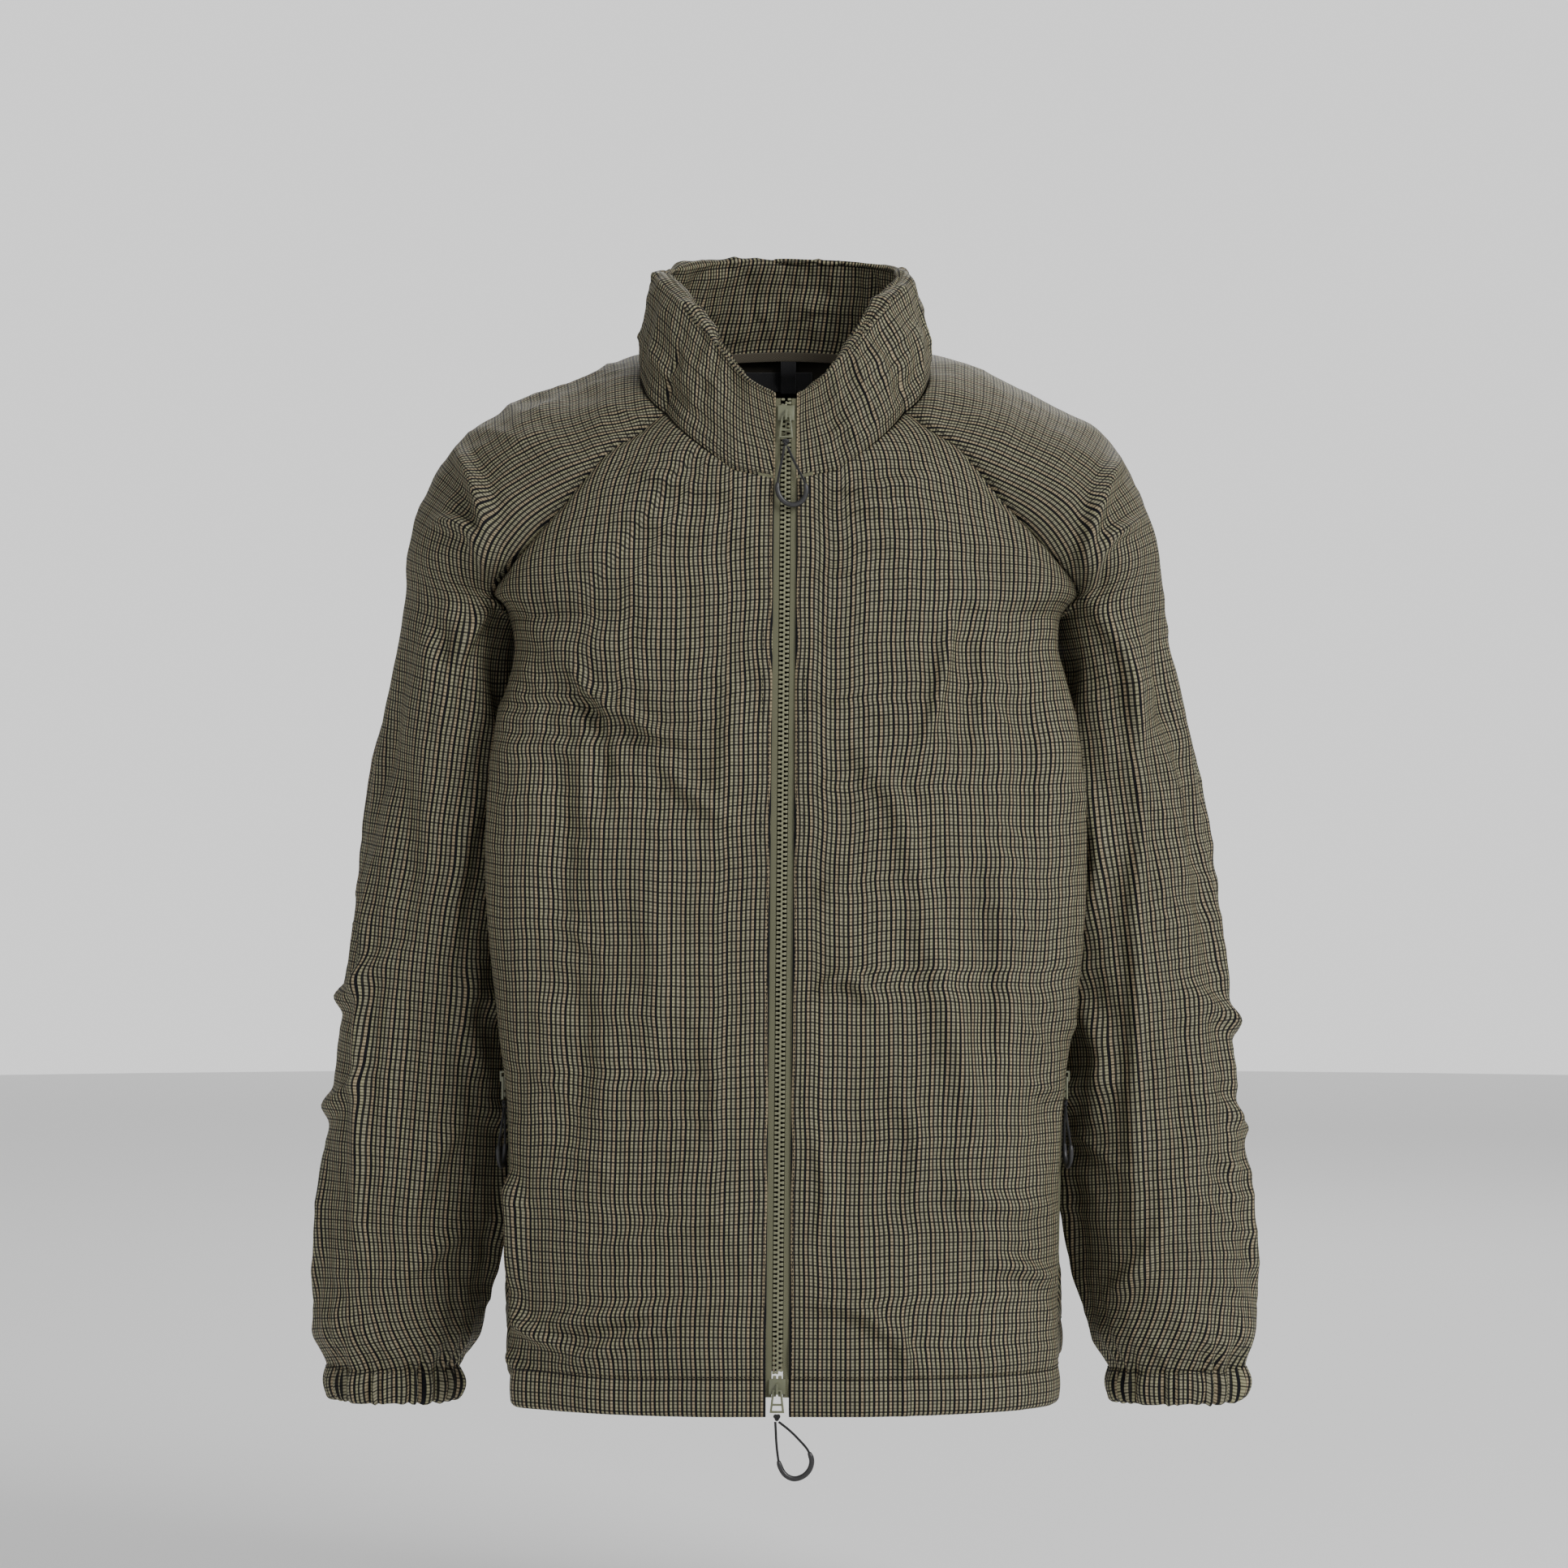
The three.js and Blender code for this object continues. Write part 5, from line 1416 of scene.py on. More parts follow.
    def stitch(self, room: Workroom) -> None:
        """Topstitching beside the zip, along the raglan seams and above the hem."""
        full, high = (0.5, len(self.pattern.rows) - 1.5), (1.0, self.pattern.upper_rows - 2.0)
        for word, _ in SIDES:
            front, sleeve = "front_" + word, "sleeve_" + word
            lines = [self.inset_line(front, inset, full, False) for inset in (1.7, 6.2)]
            room.sew("zip_stitches_" + word, lines)
            lines = [self.inset_line(sleeve, 3.2, high, last) for last in (False, True)]
            room.sew("raglan_stitches_" + word, lines)
            room.sew("front_hem_stitches_" + word, [self.cross_line(front, LINE_POINTS)])
        lines = [self.cross_line("back", 300)] + [self.cross_line("side_" + word, 120) for word, _ in SIDES]
        room.sew("back_hem_stitches", lines)


# ---- casings ----
@dataclass
class Casing:
    """A casing folded from the cloth's end: down the outside, round its edge and up inside."""

    height: float = 24
    depth: float = 6
    bulge: float = 1.0

    def profile(self) -> Array:
        """Drop and share of the depth for each row, outside to inside."""
        r = self.depth / 2
        out = np.stack([np.linspace(0, self.height - r, 14), np.zeros(14)], 1)
        a = np.linspace(0, math.pi, 9)[1:-1]
        turn = np.stack([self.height - r + r * np.sin(a), (1 - np.cos(a)) / 2], 1)
        back = np.stack([np.linspace(self.height - r, 1.5, 10), np.ones(10)], 1)
        return np.concatenate([out, turn, back])

    def panel(self, name: str, edge: Array, inward: Array, lean: Array, pucker: Array,
              uv_edge: Array, closed: bool) -> Panel:
        """The casing's panel.

        Args:
            name: the piece's name.
            edge: the shell's last row.
            inward: unit vectors into the garment, level.
            lean: how far forward a point moves for each millimetre it drops.
            pucker: ripple of the outside at each column.
            uv_edge: the cloth's threads at the shell's last row.
            closed: whether the casing runs all the way round.

        Returns:
            The panel.
        """
        profile = self.profile()
        drop, share = profile[:, :1], profile[:, 1:]
        level = np.sin(math.pi * np.clip(drop / self.height, 0, 1))
        swell = (self.bulge + pucker[None]) * level * (1 - share)
        swell = swell - 0.6 * pucker[None] * level * share
        points = edge[None] + inward[None] * (share * self.depth - swell)[..., None]
        points[..., 2] -= drop
        points[..., 1] -= drop * lean[None]
        run = run_length(np.stack([profile[:, 0], profile[:, 1] * self.depth, 0 * profile[:, 0]], 1))
        uv = np.stack([np.broadcast_to(uv_edge[:, 0], points.shape[:2]),
                       uv_edge[None, :, 1] - run[:, None]], -1)
        middle = points.mean(axis=(0, 1))
        inside = np.broadcast_to(middle, (len(points), 3))
        piece = Panel(name, points, inside, 0 if closed else None, uv)
        away = np.sum(piece.normals[4] * -inward)
        piece.normals = piece.normals if away > 0 else -piece.normals
        return piece


def level_inward(edge: Array) -> Array:
    """Level unit vectors square to an edge, towards the jacket's upright axis."""
    along = np.gradient(edge, axis=0)
    square = unit(np.stack([-along[:, 1], along[:, 0], 0 * along[:, 0]], 1))
    flip = np.sign(np.sum(square * -edge * LEVEL, axis=1))
    return square * flip[:, None]


@dataclass
class Hem:
    """The hem casing in three pieces, its drawcord and the tab that hangs from it."""

    shell: Shell
    casing: Casing = field(default_factory=lambda: Casing(24, 6, 1.2))
    cord: float = 2.8
    cord_in: float = 3
    cord_down: float = 12
    tab_width: float = 4.5

    def build(self, room: Workroom) -> None:
        """Makes the casings, the cord inside and the tab.

        Args:
            room: dresses the pieces.
        """
        shell, noise = self.shell, self.shell.drape.noise
        slope = (ZIP_TOP[1] - ZIP_FOOT[1]) / (ZIP_TOP[2] - ZIP_FOOT[2])
        sink = (0, 0, self.cord_down)
        lanes = []
        for word, _ in SIDES:
            panel = shell.panels["front_" + word]
            edge = panel.points[-1]
            inward = level_inward(softened(edge, 10))
            lean = slope * np.minimum(1, 1.4 * (1 - np.linspace(0, 1, len(edge))))
            pucker = noise(edge + 17, 11) * 0.7
            name = "hem_casing_front_" + word
            piece = self.casing.panel(name, edge, inward, lean, pucker, panel.uv[-1], False)
            room.dress(piece.build(), "shell check", ("hem_front_" + word,))
            lanes.append(edge[14:] + inward[14:] * self.cord_in - sink)
        left, right = shell.panels["side_left"], shell.panels["side_right"]
        back = shell.panels["back"]
        edge = np.concatenate([left.points[-1], back.points[-1][::-1][1:-1], right.points[-1][::-1]])
        uv = np.concatenate([left.uv[-1], back.uv[-1][::-1][1:-1], right.uv[-1][::-1]])
        inward = level_inward(softened(edge, 10))
        pucker = noise(edge + 17, 11) * 0.7
        piece = self.casing.panel("hem_casing_back", edge, inward, 0 * pucker, pucker, uv, False)
        room.dress(piece.build(), "shell check", ("hem_back",))
        behind = (edge + inward * self.cord_in - sink)[2:-2]
        lane = np.concatenate([lanes[0], behind, lanes[1][::-1]])
        cord = tube("hem_cord", resample(lane, 260), self.cord / 2, 10)
        room.dress(cord, "black cord", ("hem_drawcord",))
        self.build_tab(room)

    def build_tab(self, room: Workroom) -> None:
        """The tab: a folded strip of webbing with a slight curl, in its node's box."""
        low, high = node_box("hem_cord_tab")
        count = 16
        z = np.linspace(high[2], low[2], count)
        middle = (low + high) / 2
        curl = 0.5 * np.sin(np.linspace(0, math.pi, count))
        path = np.stack([middle[0] - curl, np.full(count, middle[1]), z], 1)
        piece = sweep("hem_tab", path, (0, 1, 0), (1, 0, 0), oval(self.tab_width / 2, 0.8, 16, 0.5))
        room.dress(piece, "black webbing", ("hem_cord_tab",))


@dataclass
class Cuffs:
    """Gathered casings at the sleeves' ends, each with a band of elastic inside."""

    shell: Shell
    casing: Casing = field(default_factory=lambda: Casing(23.5, 5.6, 1.6))
    elastic_width: float = 12
    pleats: int = 21

    def build(self, room: Workroom) -> None:
        """Makes both cuffs, puckered round the sleeve by a warped sine.

        Args:
            room: dresses the pieces.
        """
        noise = self.shell.drape.noise
        for word, _ in SIDES:
            panel = self.shell.panels["sleeve_" + word]
            edge = panel.points[-1]
            centre = panel.inside[-1]
            inward = unit((centre - edge) * LEVEL)
            around = np.arctan2(-inward[:, 1], -inward[:, 0])
            place = np.stack([np.cos(around), np.sin(around), 0 * around], 1)
            phase = self.pleats * around + noise(place * 3 + 7, 1) * 6
            uneven = 1 + 0.5 * noise(place * 5 + 2, 1)
            pucker = 1.8 * uneven * np.cos(phase) + 0.9 * noise(place * 9, 1)
            pucker[-1] = pucker[0]
            name = "cuff_casing_" + word
            piece = self.casing.panel(name, edge, inward, 0 * pucker, pucker, panel.uv[-1], True)
            scallop = 1.1 * np.cos(phase + 1.0)
            scallop[-1] = scallop[0]
            low = ease((panel.points[-1, 0, 2] - piece.points[..., 2]) / 22)
            piece.points[..., 2] -= low * (scallop - 1.1) * 0.5
            body = f"sleeve_{word}_body"
            room.dress(piece.build(0.8), "shell check", ("cuff_" + word,), body)
            ring = (edge + inward * 2.9)[:-1] - (0, 0, 12)
            section = oval(1.3, self.elastic_width / 2, 12, 0.6)
            band = sweep("elastic_" + word, ring, inward[:-1], (0, 0, 1), section, True)
            room.dress(band, "elastic", ("cuff_elastic_" + word,), body)
            room.sew("cuff_stitches_" + word, [(piece.points[1], piece.normals[1])], body)


# ---- collar ----
@dataclass
class Collar:
    """The stand collar: an outer and an inner wall round a stowed hood."""

    shell: Shell
    rim_front_z: float = -27
    puff: float = 13
    front_gap: float = 2.9
    bulge: float = 5
    rim_round: float = 3
    rim: tuple = ((0, (7.5, -92, -27)), (0.1, (24, -90, -17)), (0.22, (46, -77, 8)), (0.36, (70, -50, 38)),
                  (0.5, (86, -14, 57)), (0.65, (86, 22, 66)), (0.82, (58, 58, 74)), (1, (0, 74, 78)))
    outer_rows: int = 46

    def neck_seam(self) -> tuple[Array, Array, Array]:
        """The neck seam from the zip's left edge round to its right edge.

        Returns:
            Points, share of the way to the centre back, and side at each point.
        """
        panels = self.shell.panels
        back = panels["back"].points[0]
        middle = len(back) // 2
        halves, shares = [], []
        for word, side in SIDES:
            behind = back[middle:][::-1] if side > 0 else back[: middle + 1]
            over = panels["sleeve_" + word].points[0][1:-1]
            half = np.concatenate([panels["front_" + word].points[0], over, behind])
            run = run_length(half)
            halves.append(half)
            shares.append(run / run[-1])
        points = np.concatenate([halves[0], halves[1][::-1][1:]])
        share = np.concatenate([shares[0], shares[1][::-1][1:]])
        side = np.concatenate([np.ones(len(halves[0])), -np.ones(len(halves[1]) - 1)])
        return points, share, side

    def points(self, v: Array, depth: Array) -> Array:
        """Collar points, mixed straight from the neck seam to the rim, with a sine bulge.

        Args:
            v: share of the way up, for each row.
            depth: share of the way in from outside, for each row.

        Returns:
            Points, one row for each v.
        """
        post, share, side = self.neck_seam()
        rim = table(self.rim, share)
        zipped = self.shell.pattern.zip_point(rim[:, 2])
        hold = (1 - ease(share / 0.1))[:, None]
        near = np.stack([zipped[:, 0] + side * rim[:, 0], zipped[:, 1], rim[:, 2]], 1)
        rim = mix(rim * np.stack([side, side**2, side**2], 1), near, hold)
        full = ease((share - 0.08) / 0.25)
        v, depth = v[:, None], depth[:, None]
        gap = mix(self.front_gap, self.puff, full * ease(v / 0.55))
        inward = unit(-post * LEVEL)
        bulge = self.bulge * full * np.sin(math.pi * v)
        points = mix(post[None], rim[None], v[..., None]) + inward[None] * (depth * gap - bulge)[..., None]
        points[..., 2] += self.rim_round * full * np.sin(math.pi * depth)
        return points

    def build(self, room: Workroom) -> None:
        """Makes both walls, the hood roll between them and the stitches.

        Args:
            room: dresses the pieces.
        """
        up = np.linspace(0, 1, self.outer_rows)
        over = np.linspace(0, 1, 13)[1:-1]
        v = np.concatenate([up, np.ones(len(over)), up[::-1]])
        depth = np.concatenate([0 * up, (1 - np.cos(math.pi * over)) / 2, np.ones(len(up))])
        points = self.points(v, depth)
        middle = self.points(v, np.full(len(v), 0.5))
        wall = Panel("collar", points, np.zeros((len(points), 3)))
        wall.face(points - middle)
        noise = self.shell.drape.noise
        _, share, _ = self.neck_seam()
        tall = 90
        from_neck = np.minimum(v, 1)[:, None] * tall
        loose = (0.1 + 0.9 * ease(from_neck / 30)) * (0.1 + 0.9 * ease((share - 0.05) / 0.25))[None]
        post_run = run_length(points[0])[None] * np.ones((len(v), 1))
        flat = np.stack([post_run, depth[:, None] * 40 + 0 * post_run, from_neck + 0 * post_run], -1)
        height = 2.2 * noise(flat + 3, (30, 40, 46)) - 3.4 * np.abs(noise(flat + 71, (15, 30, 60)))
        height = height - 3.0 * np.abs(noise(flat + 23, (60, 40, 15))) * (1 - depth[:, None])
        height = height + 0.3 * noise(points + 9, 8)
        creases = self.shell.drape.creases
        ridge = 0.5 - 1.7 * np.abs(creases(points + 19, (21, 21, 26)))
        height = height + 2.4 * ridge
        groove = 0.9 * np.exp(-((from_neck / 2.2) ** 2)) * (1 - depth[:, None])
        level = flat * (1, 0, 1)
        dents = 0.9 - 2.6 * np.abs(creases(level + 5, (20, 1, 26))) - 0.4
        dents = 2.3 * dents + 2.4 * noise(level + 60, (44, 1, 38))
        both = dents * (1 - 2 * depth[:, None]) * ease(from_neck / 24)
        both = both * ease((share - 0.02) / 0.08)[None]
        both = both * (1 - 0.45 * ease((share - 0.22) / 0.1))[None]
        wall.raise_by(3.4 * np.tanh(height * loose / 3.4) + both - groove)
        run = run_length(wall.points[:, wall.points.shape[1] // 2])[:, None] * np.ones_like(post_run)
        across = post_run * (1 + 0.04 * from_neck / tall)
        wall.uv = np.stack([across + noise(flat, 30) * 1.2, run + noise(flat + 50, 30) * 1.2], -1)
        direction = wall.normals
        wall.turn()
        wall.face(direction)
        split = self.outer_rows + len(over) // 2
        for name, rows, node, finish in (
            ("collar_outer_wall", slice(0, split + 1), "collar_outer", "shell check"),
            ("collar_inner_wall", slice(split, None), "collar_inner", "inner check"),
        ):
            part = wall.points[rows]
            half = Panel(name, part, np.zeros((len(part), 3)), None, wall.uv[rows])
            half.normals = wall.normals[rows]
            piece = half.build(0.9)
            room.dress(piece, finish, (node,))
        self.build_front_edges(room, wall.points)
        self.build_hood(room, share)
        lines = [(wall.points[2], wall.normals[2]), (wall.points[6, 8:-8], wall.normals[6, 8:-8])]
        room.sew("collar_stitches", lines)

    def build_front_edges(self, room: Workroom, points: Array) -> None:
        """Narrow facings that close the collar's front edges beside the zip tape."""
        for word, column in (("left", 0), ("right", -1)):
            rows = self.outer_rows
            outer, inner = points[:rows, column], points[::-1][:rows, column]
            top = points[rows : rows + 11, column]
            path = np.concatenate([outer, top, inner[::-1]])
            piece = tube("collar_edge_" + word, resample(path, 90), 0.55, 8)
            room.dress(piece, "shell check")

    def build_hood(self, room: Workroom, share: Array) -> None:
        """The rolled hood: an oval roll round the back of the neck, with soft lumps.

        Args:
            room: dresses the piece.
            share: share of the way to the centre back along the neck seam.
        """
        keep = share > 0.36
        centre = self.points(np.array([0.62]), np.array([0.5]))[0][keep]
        rise = unit(self.points(np.array([0.86]), np.array([0.5]))[0][keep] - centre)
        count = 110
        path = resample(centre, count)
        up = unit(read_line(np.linspace(0, 1, count), np.linspace(0, 1, len(rise)), rise))
        side = unit(np.cross(np.gradient(path, axis=0), up))
        from_ends = np.minimum(np.linspace(0, 14, count), np.linspace(14, 0, count))
        taper = np.sqrt(np.clip(from_ends, 0.05, 1))
        lumps = taper * (1 + 0.08 * self.shell.drape.noise(path, 20))
        section = oval(1.2, 8, 20)[None] * lumps[:, None, None]
        piece = sweep("hood_roll", path - (0, 0, 2), side, up, section)
        room.dress(piece, "lining", ("stowed_hood",))


# ---- inside ----
@dataclass
class Inside:
    """Neck tape, blank label, hanger loop, front facings and pocket bags."""

    shell: Shell
    label_width: float = 13.5
    hanger_width: float = 10.5

    def build(self, room: Workroom) -> None:
        """Makes every piece inside the jacket."""
        self.build_neck(room)
        for word, _ in SIDES:
            self.build_facing(room, word)
            self.build_bag(room, word)

    def build_neck(self, room: Workroom) -> None:
        """The tape over the neck seam, the label and the webbing loop.

        Args:
            room: dresses the pieces.
        """
        seam = self.shell.pattern.back()[0][3:-3]
        path = resample(seam + unit(-seam * LEVEL) * 4.7 - (0, 0, 2.2), 90)
        inward = unit(-path * LEVEL)
        tape = sweep("back_neck_tape", path, inward, (0, 0, 1), oval(0.5, 3.2, 16, 0.5))
        room.dress(tape, "neck tape", ("neck_tape",))
        low, high = node_box("neck_label")
        middle, count = (low + high) / 2, 30
        across = np.linspace(low[0], high[0], count)
        sag = 0.15 * np.sin(np.linspace(0, math.pi, count))
        path = np.stack([across, middle[1] + sag, np.full(count, middle[2])], 1)
        section = oval(0.4, self.label_width / 2, 16, 0.35)
        label = sweep("blank_label", path, (0, 1, 0), (0, 0, 1), section)
        room.dress(label, "black webbing", ("neck_label",))
        low, high = node_box("hanger_loop")
        count = 40
        # Height, and how far the loop stands off the back.
        hang = ((0, (high[2], 0.55)), (0.35, (8, 3.4)), (0.6, (0, 4.2)), (0.8, (-6, 2.2)), (1, (low[2], 0.6)))
        line = table(hang, np.linspace(0, 1, count))
        depth = np.clip(high[1] - low[1], 1, 6) / 4.4
        middle = np.full(count, (low[0] + high[0]) / 2)
        path = np.stack([middle, high[1] - line[:, 1] * depth, line[:, 0]], 1)
        side = (1, 0, 0)
        up = unit(np.cross(side, np.gradient(path, axis=0)))
        loop = sweep("webbing_loop", path, side, up, oval(self.hanger_width / 2, 0.5, 16, 0.4))
        room.dress(loop, "black webbing", ("hanger_loop",))

    def build_facing(self, room: Workroom, word: str) -> None:
        """A strip behind a front panel's edge, which covers the zip tape's inner side."""
        front = self.shell.panels["front_" + word]
        points = front.points[:, :11] + (0, 2.9, 0)
        panel = Panel("facing_" + word, points, front.inside, None, front.uv[:, :11])
        nodes = ("front_facing_" + word,)
        room.dress(panel.build(0.7), "inner check", nodes, second="lining")

    def build_bag(self, room: Workroom, word: str) -> None:
        """A pocket bag that follows the front panel from behind."""
        front, s = self.shell.panels["front_" + word], self.shell.pattern.rows
        rows = np.where((s > 19.9) & (s < 28))[0]
        cols = slice(45, 84)
        points = (front.points - front.normals * 3.1)[rows][:, cols]
        uv = front.uv[rows][:, cols]
        panel = Panel("pocket_lining_" + word, points, front.inside[rows], None, uv)
        room.dress(panel.build(1.2), "lining", ("pocket_bag_" + word,))


# ---- zips ----
@dataclass(frozen=True)
class ZipAxes:
    """Axes of a zip: z runs up it and -y faces out of the cloth."""

    top: tuple
    foot: tuple
    outward: tuple

    def axes(self) -> Array:
        """Rows: across, inward and up."""
        up = unit(np.array(self.top, float) - np.array(self.foot, float))
        inward = -np.array(self.outward, float)
        across = unit(np.cross(inward, up))
        return np.stack([across, np.cross(up, across), up])

    def place(self, local: Array) -> Array:
        """Points given along the zip's axes from its top end."""
        return np.array(self.top, float) + np.asarray(local, float) @ self.axes()

    @property
    def length(self) -> float:
        """The zip's length."""
        return float(np.linalg.norm(np.array(self.top, float) - np.array(self.foot, float)))


class Route(Enum):
    """Cord loops below their knots: across, out and up from the knot's middle."""

    TOP = (
        (-1, 0, -2.9), (-2, -0.3, -9), (-3.6, -0.7, -18), (-5, -1.2, -26.5), (-5.2, -1.5, -31.5),
        (-3.6, -1.6, -36.4), (0, -1.6, -40.2), (4.6, -1.6, -41.8), (9.4, -1.6, -40.4),
        (12.8, -1.6, -36.6), (13.8, -1.5, -31.5), (12.6, -1.3, -26.8), (9, -0.8, -19.5),
        (4.4, -0.4, -10.5), (1.1, 0, -2.9),
    )
    FOOT = (
        (-1, 0, -2.9), (-0.6, -0.6, -9.5), (-0.2, -1, -16), (0.7, -1.3, -24), (2.2, -1.4, -31),
        (5.8, -1.5, -36.8), (11, -1.5, -39.2), (16.8, -1.5, -37.8), (21.2, -1.5, -33.6),
        (22.8, -1.5, -27.8), (20.6, -1.4, -21.6), (14.6, -1.1, -14.4), (7.4, -0.6, -7.6), (1.2, 0, -2.9),
    )


@dataclass
class Puller:
    """A slider's pull with its knot, loop of cord and rubber grip."""

    name: str
    axes: ZipAxes
    pivot: tuple
    route: Route
    hand: int = 1
    wire: float = 1.4
    length: float = 15
    knot_radius: float = 2.4
    fit: float = 0.3
    cord_radius: float = 0.8
    grip_radius: float = 1.75
    grip_span: tuple = (0.27, 0.7)

    @property
    def knot(self) -> Array:
        """The knot's middle, along the zip's axes: below the pull's end."""
        drop = self.wire / 2 - self.length - self.fit - self.knot_radius
        return np.array(self.pivot) + (0, 0, drop)

    def line(self) -> Array:
        """The cord's centreline, in the jacket's millimetres."""
        local = np.array(self.route.value, float) * (self.hand, 1, 1)
        run = run_length(local)
        fine = through(run, local, np.linspace(0, run[-1], 160))
        return self.axes.place(resample(fine, 120) + self.knot)

    def build(self, room: Workroom) -> None:
        """Args:
            room: dresses the pieces.
        """
        body = f"{self.name}_pull_body"
        line = self.line()
        cord = tube(self.name + "_loop", line, self.cord_radius, 10)
        room.dress(cord, "black cord", (self.name + "_cord",), body)
        count = 60
        held = resample(line, count, *self.grip_span)
        from_ends = np.minimum(np.linspace(0.15, 12, count), np.linspace(12, 0.15, count))
        rounding = np.sqrt(np.clip(from_ends, 0, 1))
        grip = tube(self.name + "_tube_grip", held, mix(self.cord_radius, self.grip_radius, rounding), 16)
        room.dress(grip, "grip rubber", (self.name + "_grip",), body)
        knot = self.build_knot(room, body)

    def build_knot(self, room: Workroom, body: str) -> Piece:
        """An overhand knot: a trefoil x = sin t + 2 sin 2t, z = cos t - 2 cos 2t, y = -1.2 sin 3t."""
        t = np.linspace(0, 2 * math.pi, 72, endpoint=False)
        x, z = np.sin(t) + 2 * np.sin(2 * t), np.cos(t) - 2 * np.cos(2 * t)
        local = np.stack([x, -np.sin(3 * t) * 1.2, z], 1) * 0.56
        path = self.axes.place(local + self.knot)
        knot = tube(self.name + "_tied_knot", path, self.cord_radius * 1.05, 10, True)
        room.dress(knot, "black cord", (self.name + "_knot",), body)
        return knot


@dataclass
class FrontZip:
    """Moulded two-way zip: teeth on two tapes, stops, pins, and two sliders."""

    axes: ZipAxes
    pitch: float = 3.1
    sink: float = 1.45
    stop: float = 4.0
    pin: float = 14.5

    def tooth(self) -> tuple[Array, list]:
        """One tooth: a narrow neck between its foot on the tape and its round head."""
        upper = np.array(((3.3, 0.72), (2.6, 0.85), (1.5, 0.62), (0.9, 0.5), (0.35, 0.86), (-0.25, 0.92),
                          (-0.62, 0.5)))
        outline = np.concatenate([upper, upper[::-1] * (1, -1)])
        centre = 1.4
        layers = ((-1.12, 0.74), (-0.95, 0.9), (-0.65, 1.0), (0.65, 1.0), (0.95, 0.9), (1.12, 0.74))
        points, faces = layered(outline * (1, 1.3) - (centre, 0), layers)
        return points + (centre, 0, 0), faces

    def build(self, room: Workroom) -> None:
        """Makes the teeth and finishes the hard pieces."""
        across, inward, up = self.axes.axes()
        first, last = -self.stop - 1.2, self.pin - self.axes.length + 1.2
        for word, side in SIDES:
            z = np.arange(first - (0 if side > 0 else self.pitch / 2), last, -self.pitch)
            places = self.axes.place(np.stack([0 * z, np.full(len(z), self.sink), z], 1))
            axes = np.broadcast_to(np.stack([side * across, inward, side * up]), (len(z), 3, 3))
            teeth = stamp("moulded_teeth_" + word, self.tooth(), places, axes)
            room.dress(teeth, "moulded teeth", ("zip_teeth_" + word,))
            room.polish("zip_top_stop_" + word, "moulded teeth", "root", 0.5)
            room.redress("zip_tape_" + word, "olive tape")
        for node in ("zip_insertion_pin", "zip_retaining_pin"):
            room.polish(node, "moulded teeth", "root", 0.5)


def hard_parts(room: Workroom) -> None:
    """Rounded copies of every slider and pull, and the pocket zips' finish."""
    for name in ("top", "foot", "pocket_left", "pocket_right"):
        room.polish(name + "_slider", "olive enamel", f"{name}_slider_body", 0.32)
        room.polish(name + "_pull", "olive enamel", f"{name}_pull_body", 0.34)
    for word, _ in SIDES:
        room.redress("pocket_zip_" + word, "olive tape")


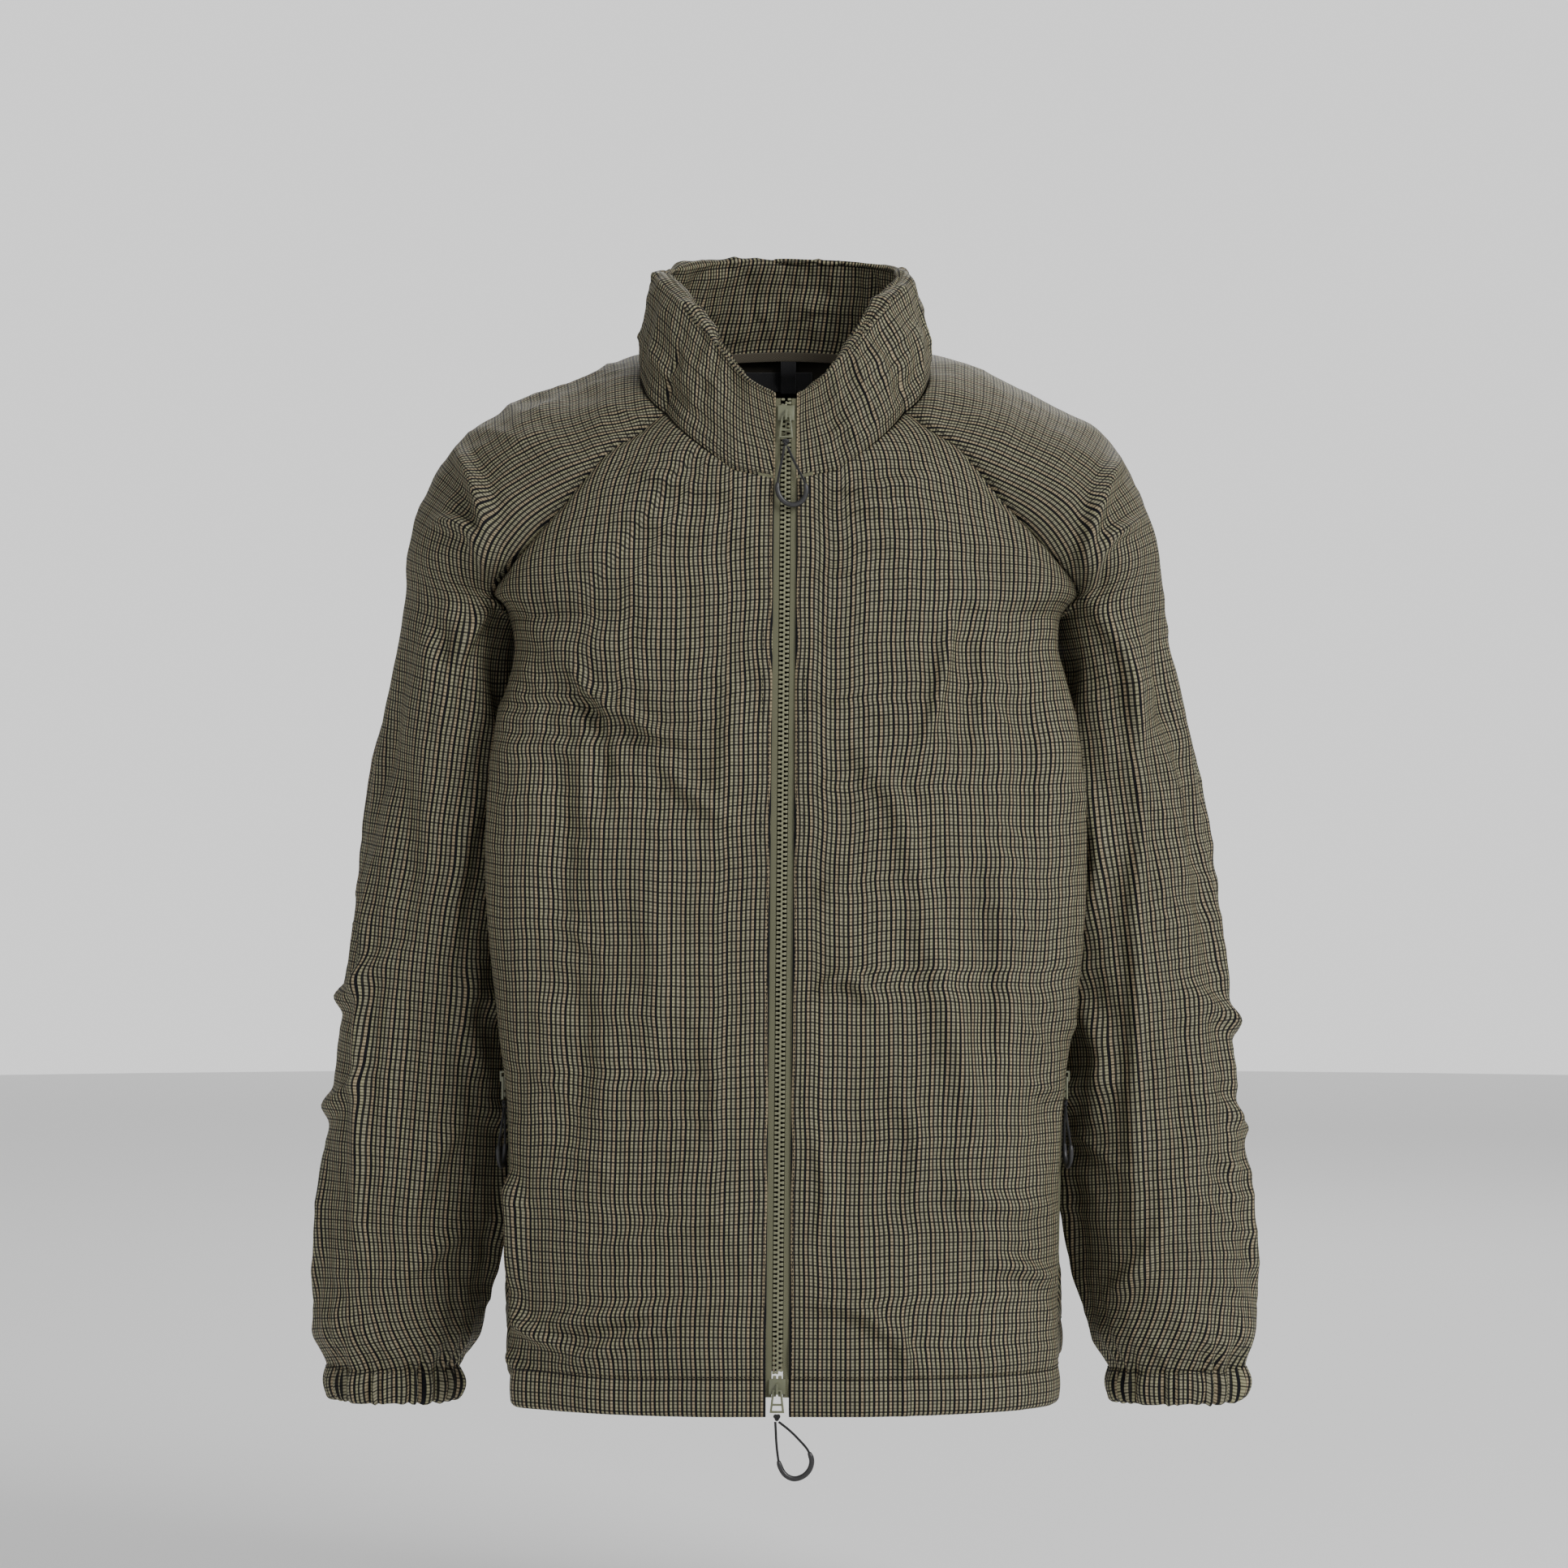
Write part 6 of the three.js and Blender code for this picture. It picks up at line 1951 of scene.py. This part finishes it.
# ---- the studio ----
@dataclass(frozen=True)
class Studio:
    """A pale floor, soft lights and a camera straight in front of the jacket, in metres."""

    distance: float = 3.2
    eye_z: float = -0.284
    eye_x: float = -0.0005
    view_width: float = 1.0626
    sensor: float = 36.0
    floor_z: float = -0.9
    floor_radius: float = 7.0
    # Name, place, size and power of each lamp.
    lamps: tuple = (
        ("key", (2.1, -2.3, 1.7), 1.4, 120), ("front", (-1.6, -3.4, 0.5), 3.0, 26),
        ("left", (3.4, -0.6, 0.7), 2.6, 9), ("right", (-3.4, -0.6, 0.7), 2.6, 9),
        ("behind", (0.8, 3.2, 2.0), 2.2, 40), ("far", (0, 10, 6), 8, 500),
    )

    def build(self) -> None:
        """Makes the camera, the floor, the lights and the sky."""
        camera = add_object("camera", bpy.data.cameras.new("camera"))
        camera.location = (self.eye_x, -self.distance, self.eye_z)
        camera.rotation_euler = (math.pi / 2, 0, 0)
        camera.data.sensor_width = self.sensor
        camera.data.lens = self.sensor * self.distance / self.view_width
        bpy.context.scene.camera = camera
        self.build_floor()
        for name, place, size, power in self.lamps:
            self.light(name, place, size, power)
        world = bpy.data.worlds.new("studio")
        world.use_nodes = True
        n = Nodes(world.node_tree)
        sky = world.node_tree.nodes["Background"]
        sky.inputs["Color"].default_value = (1, 1, 1, 1)
        sky.inputs["Strength"].default_value = 0.34
        bright = n.add("Background", {"Strength": 1.5})
        rays = n.add("LightPath")
        choice = {0: rays.outputs["Is Camera Ray"], 1: sky.outputs[0], 2: bright.outputs[0]}
        both = n.add("MixShader", choice)
        n.put(world.node_tree.nodes["World Output"].inputs["Surface"], both.outputs[0])
        bpy.context.scene.world = world

    def build_floor(self) -> None:
        """A wide round pale floor."""
        rim = oval(self.floor_radius / MM, self.floor_radius / MM, 96)
        rim = np.column_stack([rim, np.full(96, self.floor_z / MM)])
        floor = new_mesh("floor", rim, [list(range(96))])
        pale = bpy.data.materials.new("pale floor")
        pale.use_nodes = True
        n = Nodes(pale.node_tree)
        shader = pale.node_tree.nodes["Principled BSDF"]
        place = n.add("TexCoord")
        mottle = n.add("TexNoise", {"Vector": place.outputs["Object"], "Scale": 3.0})
        tone = n.math("MULTIPLY_ADD", mottle.outputs[0], 0.01, 0.87)
        n.put(shader.inputs["Base Color"], n.add("CombineColor", {0: tone, 1: tone, 2: tone}).outputs[0])
        shader.inputs["Roughness"].default_value = 0.9
        floor.data.materials.append(pale)

    @staticmethod
    def light(name: str, place: tuple, size: float, power: float) -> None:
        """A square soft light that faces the jacket's middle."""
        lamp = add_object(name, bpy.data.lights.new(name, "AREA"))
        lamp.data.size = size
        lamp.data.energy = power
        lamp.location = place
        lamp.visible_camera = False
        aim = Vector((0, 0, -0.35)) - Vector(place)
        lamp.rotation_euler = aim.to_track_quat("-Z", "Y").to_euler()


def pullers() -> list[Puller]:
    """The four pulls, each with its zip's axes and its place along them."""
    front = ZipAxes(ZIP_TOP, ZIP_FOOT, (0, -1, 0))
    every = [
        Puller("top", front, (0, -2.5, -14.5), Route.TOP),
        Puller("foot", front, (0, -2.5, 4.5 - front.length), Route.FOOT),
    ]
    for word, side in SIDES:
        every.append(Puller("pocket_" + word, pocket_axes(side), (0, -4.9, -14.5), Route.TOP, -side))
    return every


def pocket_axes(side: int) -> ZipAxes:
    """Axes of a pocket zip, which lies along the front side seam."""
    pattern = Pattern3D()
    outward = unit(np.array([side * 0.985, 0.17, 0]))
    ends = []
    for z in (-466, -622):
        share = (pattern.armpit_z - z) / (pattern.armpit_z - pattern.casing_z)
        point = pattern.seam_station("front", share)
        ends.append(tuple(point * (side, 1, 1) + outward * 2.5))
    return ZipAxes(ends[0], ends[1], tuple(outward))


def main() -> None:
    """Builds the studio, the cords, and then the jacket from its shell inward."""
    logging.basicConfig(level=logging.INFO, format="%(name)s: %(message)s")
    Studio().build()
    room = Workroom()
    for puller in pullers():
        puller.build(room)
    shell = Shell(Pattern3D(), Drape())
    shell.build(room)
    shell.stitch(room)
    Hem(shell).build(room)
    Cuffs(shell).build(room)
    Collar(shell).build(room)
    Inside(shell).build(room)
    FrontZip(ZipAxes(ZIP_TOP, ZIP_FOOT, (0, -1, 0))).build(room)
    hard_parts(room)
    LOG.info("%d pieces", room.count)


if __name__ == "__main__":
    main()
